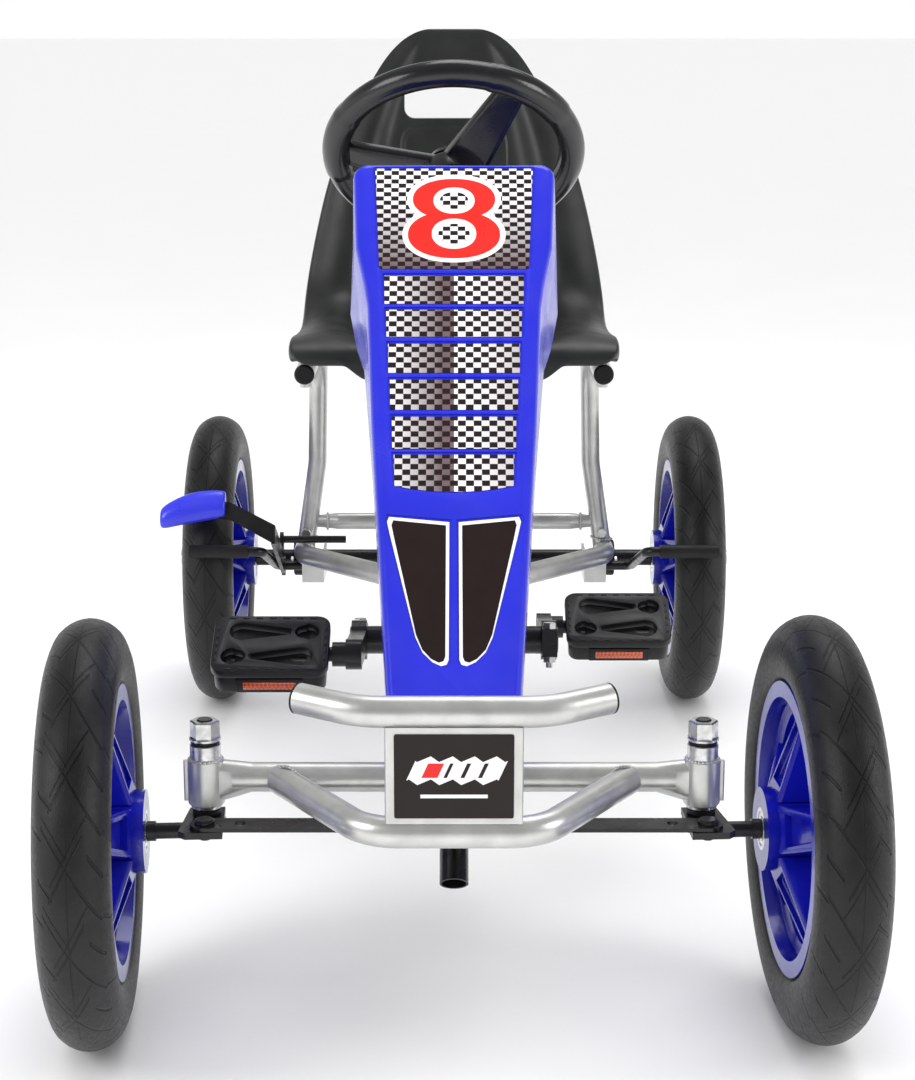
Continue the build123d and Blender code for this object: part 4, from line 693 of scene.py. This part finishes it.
# ---- hood panels --------------------------------------------------------------------
# Printed vinyl in each recess: a race number on a chequered ground, six chequered rows whose
# white squares shade off to mauve, and two dark vents with white edges.
INK = (0.016, 0.010, 0.010, 1)
WHITE = (0.92, 0.90, 0.91, 1)
MAUVE = (0.15, 0.10, 0.11, 1)
RED = (0.72, 0.018, 0.012, 1)
SQUARE = 0.0062
VINYL = 0.0003
ROUNDNESS = 2.15


def print_uv(piece):
    """A UV map in metres: across the hood, and along the column."""
    layer = piece.data.uv_layers.new(name="print")
    for corner in piece.data.loops:
        place = piece.data.vertices[corner.vertex_index].co
        layer.data[corner.index].uv = (place.x, (place - column_foot).dot(column_up))


def chequer(finish, tall):
    """0 or 1 by squares; and the print's own axes, in metres."""
    flat = node(finish, "UVMap").outputs[0]
    squares = node(finish, "Mapping", Vector=flat, Scale=(1 / SQUARE, 1 / tall, 1), Location=(0.5, 0.25, 0.5))
    axes = node(finish, "SeparateXYZ", Vector=flat).outputs
    checks = node(finish, "TexChecker", Vector=squares.outputs[0], Scale=1.0)
    return checks.outputs["Fac"], axes["X"], axes["Y"]


number_print = material("number_print", Specular_IOR_Level=0.3)
number_calc = calc_on(number_print)
square, x, height = chequer(number_print, 0.0045)


def oval(centre, wide, tall):
    """1 inside a rounded oval on the number panel, 0 outside."""
    first = number_calc("POWER", number_calc("ABSOLUTE", number_calc("DIVIDE", x, wide)), ROUNDNESS)
    lift = number_calc("SUBTRACT", height, centre)
    second = number_calc("POWER", number_calc("ABSOLUTE", number_calc("DIVIDE", lift, tall)), ROUNDNESS)
    return number_calc("LESS_THAN", number_calc("ADD", first, second), 1.0)


pale = blend_colour(number_print, spread(number_print, height, 0.495, 0.578, 1.0, 0.0), WHITE, MAUVE)
colour = blend_colour(number_print, square, pale, INK)
ground = blend_colour(number_print, square, WHITE, INK)
# the number: an upper and a lower oval, each with a hole, in red edged with white;
# each colour's two ovals have their centre along the column, half width and half height
OVALS = ((WHITE, (0.563, 0.0392, 0.0258), (0.5262, 0.0428, 0.0286)),
         (RED, (0.563, 0.0345, 0.0214), (0.5262, 0.0383, 0.0245)),
         (WHITE, (0.5615, 0.0172, 0.0137), (0.527, 0.0184, 0.0155)),
         (ground, (0.5615, 0.0119, 0.0088), (0.527, 0.0130, 0.0103)))
for fill, *ovals in OVALS:
    for shape in ovals:
        colour = blend_colour(number_print, oval(*shape), colour, fill)
drive(number_print, "Base Color", colour)
drive(number_print, "Roughness", spread(number_print, grain(number_print, 35.0), 0.3, 0.7, 0.24, 0.36))

row_print = material("row_print", Specular_IOR_Level=0.3)
row_calc = calc_on(row_print)
square, x, height = chequer(row_print, 0.0050)
left_half = row_calc("LESS_THAN", x, 0.0)
left_shade = spread(row_print, x, -0.056, -0.010, 0.08, 1.0)
right_shade = spread(row_print, x, 0.0, 0.055, 0.0, 0.6)
shade = row_calc("ADD", row_calc("MULTIPLY", left_half, left_shade),
                 row_calc("MULTIPLY", row_calc("SUBTRACT", 1.0, left_half), right_shade))
pale = blend_colour(row_print, shade, WHITE, MAUVE)
drive(row_print, "Base Color", blend_colour(row_print, square, pale, INK))
drive(row_print, "Roughness", spread(row_print, grain(row_print, 35.0), 0.3, 0.7, 0.24, 0.36))

PRINT_LOW = -RECESS + 0.0001
PRINT_HIGH = PRINT_LOW + VINYL
number_shape = raise_plate(face_outline(trapezoid(*NUMBER_PANEL), 0.0025), PRINT_LOW, PRINT_HIGH)
print_uv(add_piece("number_panel", number_shape, "frame", number_print))
for i in range(len(ROW_PANELS)):
    shape = raise_plate(face_outline(row_corners(i)), PRINT_LOW, PRINT_HIGH)
    print_uv(add_piece(f"row_panel_{i + 1}", shape, "frame", row_print))


def plain_print(name, first, second):
    """A vinyl print of one slightly uneven colour."""
    finish = material(name, Roughness=0.3, Specular_IOR_Level=0.3)
    drive(finish, "Base Color", blend_colour(finish, grain(finish, 60.0), first, second))
    return finish


vent_white = plain_print("vent_white", (0.86, 0.86, 0.87, 1), (0.92, 0.92, 0.92, 1))
vent_dark = plain_print("vent_dark", (0.012, 0.006, 0.006, 1), (0.018, 0.010, 0.009, 1))
for name, side in SIDES.items():
    outline = [(side * px, pz) for px, pz in VENT]
    edging = raise_plate(face_outline(outline), PRINT_LOW, PRINT_HIGH)
    add_piece(f"vent_edge_{name}", edging, "frame", vent_white)
    middle = raise_plate(face_outline(shrunk(outline, 0.0030)), PRINT_HIGH - 0.0001, PRINT_HIGH + 0.0002)
    add_piece(f"vent_middle_{name}", middle, "frame", vent_dark)

# ---- seat ---------------------------------------------------------------------------
# A blow-moulded bucket seat in dark grey-green polyethylene, satin, with bolsters, a rolled front
# lip, a grab slot through the back and a round-cornered panel below it.
# height above the ground, distance to the rear and half width, from the front lip to the top
SEAT_LINE = (
    (0.4010, 0.1400, 0.132), (0.4120, 0.1330, 0.150), (0.4310, 0.1340, 0.159), (0.4405, 0.1450, 0.161),
    (0.4425, 0.1750, 0.161), (0.4350, 0.2200, 0.161), (0.4290, 0.2800, 0.161), (0.4270, 0.3300, 0.161),
    (0.4340, 0.3720, 0.161), (0.4520, 0.4000, 0.161), (0.4850, 0.4160, 0.1565), (0.5200, 0.4260, 0.1495),
    (0.5600, 0.4355, 0.1405), (0.6000, 0.4450, 0.1285), (0.6390, 0.4545, 0.1145), (0.6780, 0.4640, 0.0915),
    (0.7000, 0.4695, 0.0785), (0.7160, 0.4740, 0.0660), (0.7280, 0.4775, 0.0520), (0.7350, 0.4805, 0.0370),
    (0.7375, 0.4840, 0.0180))
SEAT_HALF = (0.22, 0.44, 0.58, 0.65, 0.72, 0.80, 0.90, 0.97, 1)
SEAT_ACROSS = [-share for share in SEAT_HALF[::-1]] + [0] + list(SEAT_HALF)
SEAT_WALL = 0.020
# how proud a bolster stands, by how far out it is: one height more than steps
BOLSTER_STEPS = (0.5, 0.6, 0.7, 0.75, 0.85, 0.95)
BOLSTER = (0, 0.002, 0.012, 0.017, 0.017, 0.012, 0.005)
HOLLOW = 0.005
# the lip's two ends hang less low than its middle, over the ends of the rails
LIP_LIFT = (0.016, 0.010)
seat_plastic = material("seat_polyethylene", Specular_IOR_Level=0.45)
seat_calc = calc_on(seat_plastic)
patches = spread(seat_plastic, grain(seat_plastic, 20.0), 0.35, 0.65, 0.0, 1.0)
drive(seat_plastic, "Base Color", blend_colour(seat_plastic, patches, (0.010, 0.0115, 0.0105, 1),
                                               (0.017, 0.019, 0.0175, 1)))
streaks = grain(seat_plastic, 35.0, 4.0, (1, 1, 0.3))
drive(seat_plastic, "Roughness", spread(seat_plastic, streaks, 0.3, 0.7, 0.34, 0.50))
# the panel's outline, pressed in below the slot: middle and half size
PANEL_Z = 0.583
PANEL_HALF = (0.056, 0.050)
place = seat_plastic.node_tree.nodes.new("ShaderNodeTexCoord").outputs["Object"]
axes = node(seat_plastic, "SeparateXYZ", Vector=place).outputs
off_x = seat_calc("ABSOLUTE", seat_calc("DIVIDE", axes["X"], PANEL_HALF[0]))
off_z = seat_calc("ABSOLUTE", seat_calc("DIVIDE", seat_calc("SUBTRACT", axes["Z"], PANEL_Z), PANEL_HALF[1]))
outline = seat_calc("ADD", seat_calc("POWER", off_x, 6.0), seat_calc("POWER", off_z, 6.0))
near = seat_calc("ABSOLUTE", seat_calc("SUBTRACT", outline, 1.0))
pressed = spread(seat_plastic, near, 0.05, 0.35, 1.0, 0.0)
texture = seat_calc("MULTIPLY", grain(seat_plastic, 900.0, 3.0), 0.12)
emboss(seat_plastic, seat_calc("SUBTRACT", texture, pressed), 0.001)

seat = bmesh.new()
rows, columns = len(SEAT_LINE), len(SEAT_ACROSS)
bmesh.ops.create_grid(seat, x_segments=columns - 1, y_segments=rows - 1, size=1.0)
grid = sorted(seat.verts, key=lambda v: (round(v.co.y, 4), v.co.x))
for index, vert in enumerate(grid):
    row, column = divmod(index, columns)
    up, back, half = SEAT_LINE[row]
    share = SEAT_ACROSS[column]
    size = abs(share)
    # which way the surface faces here: up on the pan, forward on the back
    before, after = SEAT_LINE[max(row - 1, 0)], SEAT_LINE[min(row + 1, rows - 1)]
    run = Vector((0, after[1] - before[1], after[0] - before[0])).normalized()
    facing = Vector((0, -run.z, run.y))
    # the bolsters fade out towards the lip and the head
    strength = min(1.0, max(0.0, (row - 3) / 3)) * min(1.0, max(0.0, (18 - row) / 5))
    ridge = BOLSTER[sum(size > step for step in BOLSTER_STEPS)]
    if row < len(LIP_LIFT) and size > 0.71:
        up += LIP_LIFT[row]
    hollow = HOLLOW * (1 - size ** 2) * strength
    vert.co = Vector((share * half, back, up)) + facing * (ridge * strength - hollow)
bmesh.ops.recalc_face_normals(seat, faces=seat.faces)
if sum(face.normal.z for face in seat.faces) < 0:
    bmesh.ops.reverse_faces(seat, faces=seat.faces)
seat_shell = add_piece("seat_moulding", seat, "frame", seat_plastic, radians(180))
wall = seat_shell.modifiers.new("wall", "SOLIDIFY")
wall.thickness = SEAT_WALL
wall.offset = -1
wall.use_even_offset = False


def subdivide(piece, levels):
    """Rounds a piece by subdivision."""
    rounding = piece.modifiers.new("rounding", "SUBSURF")
    rounding.levels = levels
    rounding.render_levels = levels


subdivide(seat_shell, 3)
grab = bmesh.new()
add_box(grab, (0.108, 0.16, 0.035))
round_off(grab, [e for e in grab.edges if abs((e.verts[0].co - e.verts[1].co).y) > 0.1], 0.011, 6)
bmesh.ops.translate(grab, vec=(0, 0.46, 0.6585), verts=grab.verts)
carve(seat_shell, [grab], 0.0016)
seat_shell.data.set_sharp_from_angle(angle=radians(180))
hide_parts("seat")

# ---- pedals -------------------------------------------------------------------------
# Each pedal is a moulded block that turns on its spindle. A prismatic orange reflector sits in a
# dark frame on its front edge, and teeth stand round the rim of its tread.
PEDAL_TILT = radians(26)
CRANK_ANGLE = radians(9.5)
CRANK_LENGTH = 0.105
PEDAL_X = 0.1485
CRANK_Y, CRANK_Z = -0.138, 0.224
# width, depth, underside and top, corner radius
PEDAL_BLOCKS = {"tread": (0.0945, 0.0675, 0.0045, 0.0120, 0.011),
                "body": (0.0900, 0.0630, -0.0122, 0.0046, 0.009)}
pedal_plastic = coating("pedal_plastic", (0.006, 0.006, 0.007), (0.011, 0.011, 0.012), tone=50.0,
                        sheen=(40.0, 0.28, 0.46), bump=(1000.0, 2.0, 0.00009), Specular_IOR_Level=0.32)
reflector_orange = material("reflector_orange", Roughness=0.18, Coat_Weight=0.8, Coat_Roughness=0.05)
place = reflector_orange.node_tree.nodes.new("ShaderNodeTexCoord").outputs["Object"]
turned = node(reflector_orange, "Mapping", Vector=place, Rotation=(0, radians(45), 0), Scale=(420, 420, 420))
# the checker's bright and dark oranges are painted light and shade on the prism facets; the same checker also
# presses the facets in as bumps
prisms_lit_and_shaded = node(reflector_orange, "TexChecker", Vector=turned.outputs[0], Scale=1.0,
              Color1=(0.80, 0.11, 0.010, 1), Color2=(0.45, 0.045, 0.005, 1))
drive(reflector_orange, "Base Color", prisms_lit_and_shaded.outputs["Color"])
emboss(reflector_orange, prisms_lit_and_shaded.outputs["Fac"], 0.0005)


def block(wide, deep, low, high, corner):
    """A block with round upright corners, its middle over the origin."""
    shape = bmesh.new()
    add_box(shape, (wide, deep, high - low))
    bmesh.ops.translate(shape, vec=(0, 0, (high + low) / 2), verts=shape.verts)
    upright = [e for e in shape.edges if abs((e.verts[0].co - e.verts[1].co).z) > (high - low) * 0.9]
    round_off(shape, upright, corner, 6)
    return shape


def drop_hole(x0, r0, x1, r1, y):
    """A cutter round two circles, one at each end of a line along x."""
    shape = bmesh.new()
    outline = []
    for x, radius, start in ((x1, r1, -90), (x0, r0, 90)):
        angles = [radians(start + 180 * i / 10) for i in range(11)]
        outline += [(x + radius * cos(angle), y + radius * sin(angle)) for angle in angles]
    shape.faces.new([shape.verts.new((px, py, -0.03)) for px, py in outline])
    extrude(shape, (0, 0, 0.06))
    bmesh.ops.recalc_face_normals(shape, faces=shape.faces)
    return shape


# two long holes and two short ones, each from one circle to another: x, radius, x, radius, y
HOLES = ((-0.0240, 0.0105, 0.0140, 0.0035, 0.0150), (0.0265, 0.0075, 0.0290, 0.0095, 0.0145),
         (-0.0300, 0.0095, -0.0275, 0.0075, -0.0150), (-0.0140, 0.0035, 0.0240, 0.0105, -0.0150))
# where a tooth stands, and how far it is turned
TEETH = [(x, y, 0) for y in (-0.0308, 0.0308) for x in (-0.033, -0.022, -0.011, 0, 0.011, 0.022, 0.033)]
TEETH += [(x, y, pi / 2) for x in (-0.0440, 0.0440) for y in (-0.018, -0.009, 0, 0.009, 0.018)]
# width, height, distance in front of the spindle, finish
REFLECTOR = {"frame": (0.054, 0.0145, 0.0332, black_plastic),
             "lens": (0.043, 0.0082, 0.0336, reflector_orange)}
for name, side in SIDES.items():
    reach = Vector((0, side * cos(CRANK_ANGLE), -side * sin(CRANK_ANGLE))) * CRANK_LENGTH
    centre = Vector((side * PEDAL_X, CRANK_Y, CRANK_Z)) + reach
    lie = Matrix.Translation(centre) @ Matrix.Rotation(PEDAL_TILT, 4, "X")
    for label, measures in PEDAL_BLOCKS.items():
        body = block(*measures)
        bmesh.ops.transform(body, matrix=lie, verts=body.verts)
        pedal = add_piece(f"pedal_{label}_{name}", body, f"pedal_{name}", pedal_plastic)
        cutters = [drop_hole(*hole) for hole in HOLES]
        for cutter in cutters:
            bmesh.ops.transform(cutter, matrix=lie, verts=cutter.verts)
        carve(pedal, cutters, 0.0012)
    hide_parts(f"pedal_{name}")
    teeth = bmesh.new()
    for x, y, turn in TEETH:
        place = Matrix.Translation((x, y, 0.0119)) @ Matrix.Rotation(turn, 4, "Z")
        bmesh.ops.transform(teeth, matrix=place, verts=add_box(teeth, (0.0055, 0.0018, 0.0012)))
    round_off(teeth, teeth.edges[:], 0.0004)
    bmesh.ops.transform(teeth, matrix=lie, verts=teeth.verts)
    add_piece(f"pedal_teeth_{name}", teeth, f"pedal_{name}", pedal_plastic)
    for label, (wide, tall, deep, finish) in REFLECTOR.items():
        slab = bmesh.new()
        add_box(slab, (wide, 0.003, tall))
        round_off(slab, slab.edges[:], 0.0009)
        place = lie @ Matrix.Translation((0, -deep + 0.0016, -0.0045))
        bmesh.ops.transform(slab, matrix=place, verts=slab.verts)
        add_piece(f"pedal_reflector_{label}_{name}", slab, f"pedal_{name}", finish)

# ---- brake grip ---------------------------------------------------------------------
# A banana-shaped grip in the hood's blue, moulded over the end of the brake lever, with a satin
# surface and a fine grain.
grip_blue = coating("grip_blue", (0.018, 0.024, 0.62), (0.028, 0.036, 0.75), tone=30.0,
                    sheen=(50.0, 0.24, 0.38), bump=(700.0, 2.0, 0.0001), Coat_Weight=0.4, Coat_Roughness=0.15)
lever_across = Vector((0, 0.4472, 0.8944))
lever_thick = Vector((0, 0.8944, -0.4472))
LEVER_BEND = Vector((-0.188, 0.258, 0.224))
GRIP_SIDES = 28
# out along the lever, across it, height and thickness of the section; millimetres
GRIP = ((50, 33, 22, 14), (50.8, 33, 28, 18), (56, 33, 30, 20), (68, 32, 32, 22), (81, 30, 33, 24),
        (94, 27, 31.5, 23), (106, 22.5, 28, 20.5), (113, 19.5, 25, 18.5), (117, 17.8, 20.5, 15),
        (118, 17.5, 14, 10))
grip = bmesh.new()
bands = []
for out, across, high, thick in GRIP:
    middle = LEVER_BEND + Vector((-out, 0, 0)) / 1000 + lever_across * (across / 1000)
    band = []
    for i in range(GRIP_SIDES):
        angle = 2 * pi * i / GRIP_SIDES
        off = lever_across * (high / 2000 * sin(angle)) + lever_thick * (thick / 2000 * cos(angle))
        band.append(grip.verts.new(middle + off))
    bands.append(band)
for first, second in zip(bands, bands[1:]):
    for i in range(GRIP_SIDES):
        j = (i + 1) % GRIP_SIDES
        grip.faces.new((first[i], first[j], second[j], second[i]))
grip.faces.new(bands[0][::-1])
grip.faces.new(bands[-1])
bmesh.ops.recalc_face_normals(grip, faces=grip.faces)
grip_piece = add_piece("brake_grip_moulding", grip, "brake", grip_blue, radians(70))
subdivide(grip_piece, 1)
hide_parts("brake_grip")

# ---- chain and chain wheels ---------------------------------------------------------
# A half-inch roller chain on punched steel wheels, oiled dark. The chain is the CAD model's, two
# bands with rollers between them.
chain_steel = coating("oiled_steel", (0.10, 0.095, 0.09), (0.26, 0.25, 0.24), tone=120.0,
                      sheen=(80.0, 0.26, 0.48), bump=(1200.0, 2.0, 0.00005), patchy=True, Metallic=0.9)
repaint(chain_steel, "chain", "chainring", "rear_sprocket")
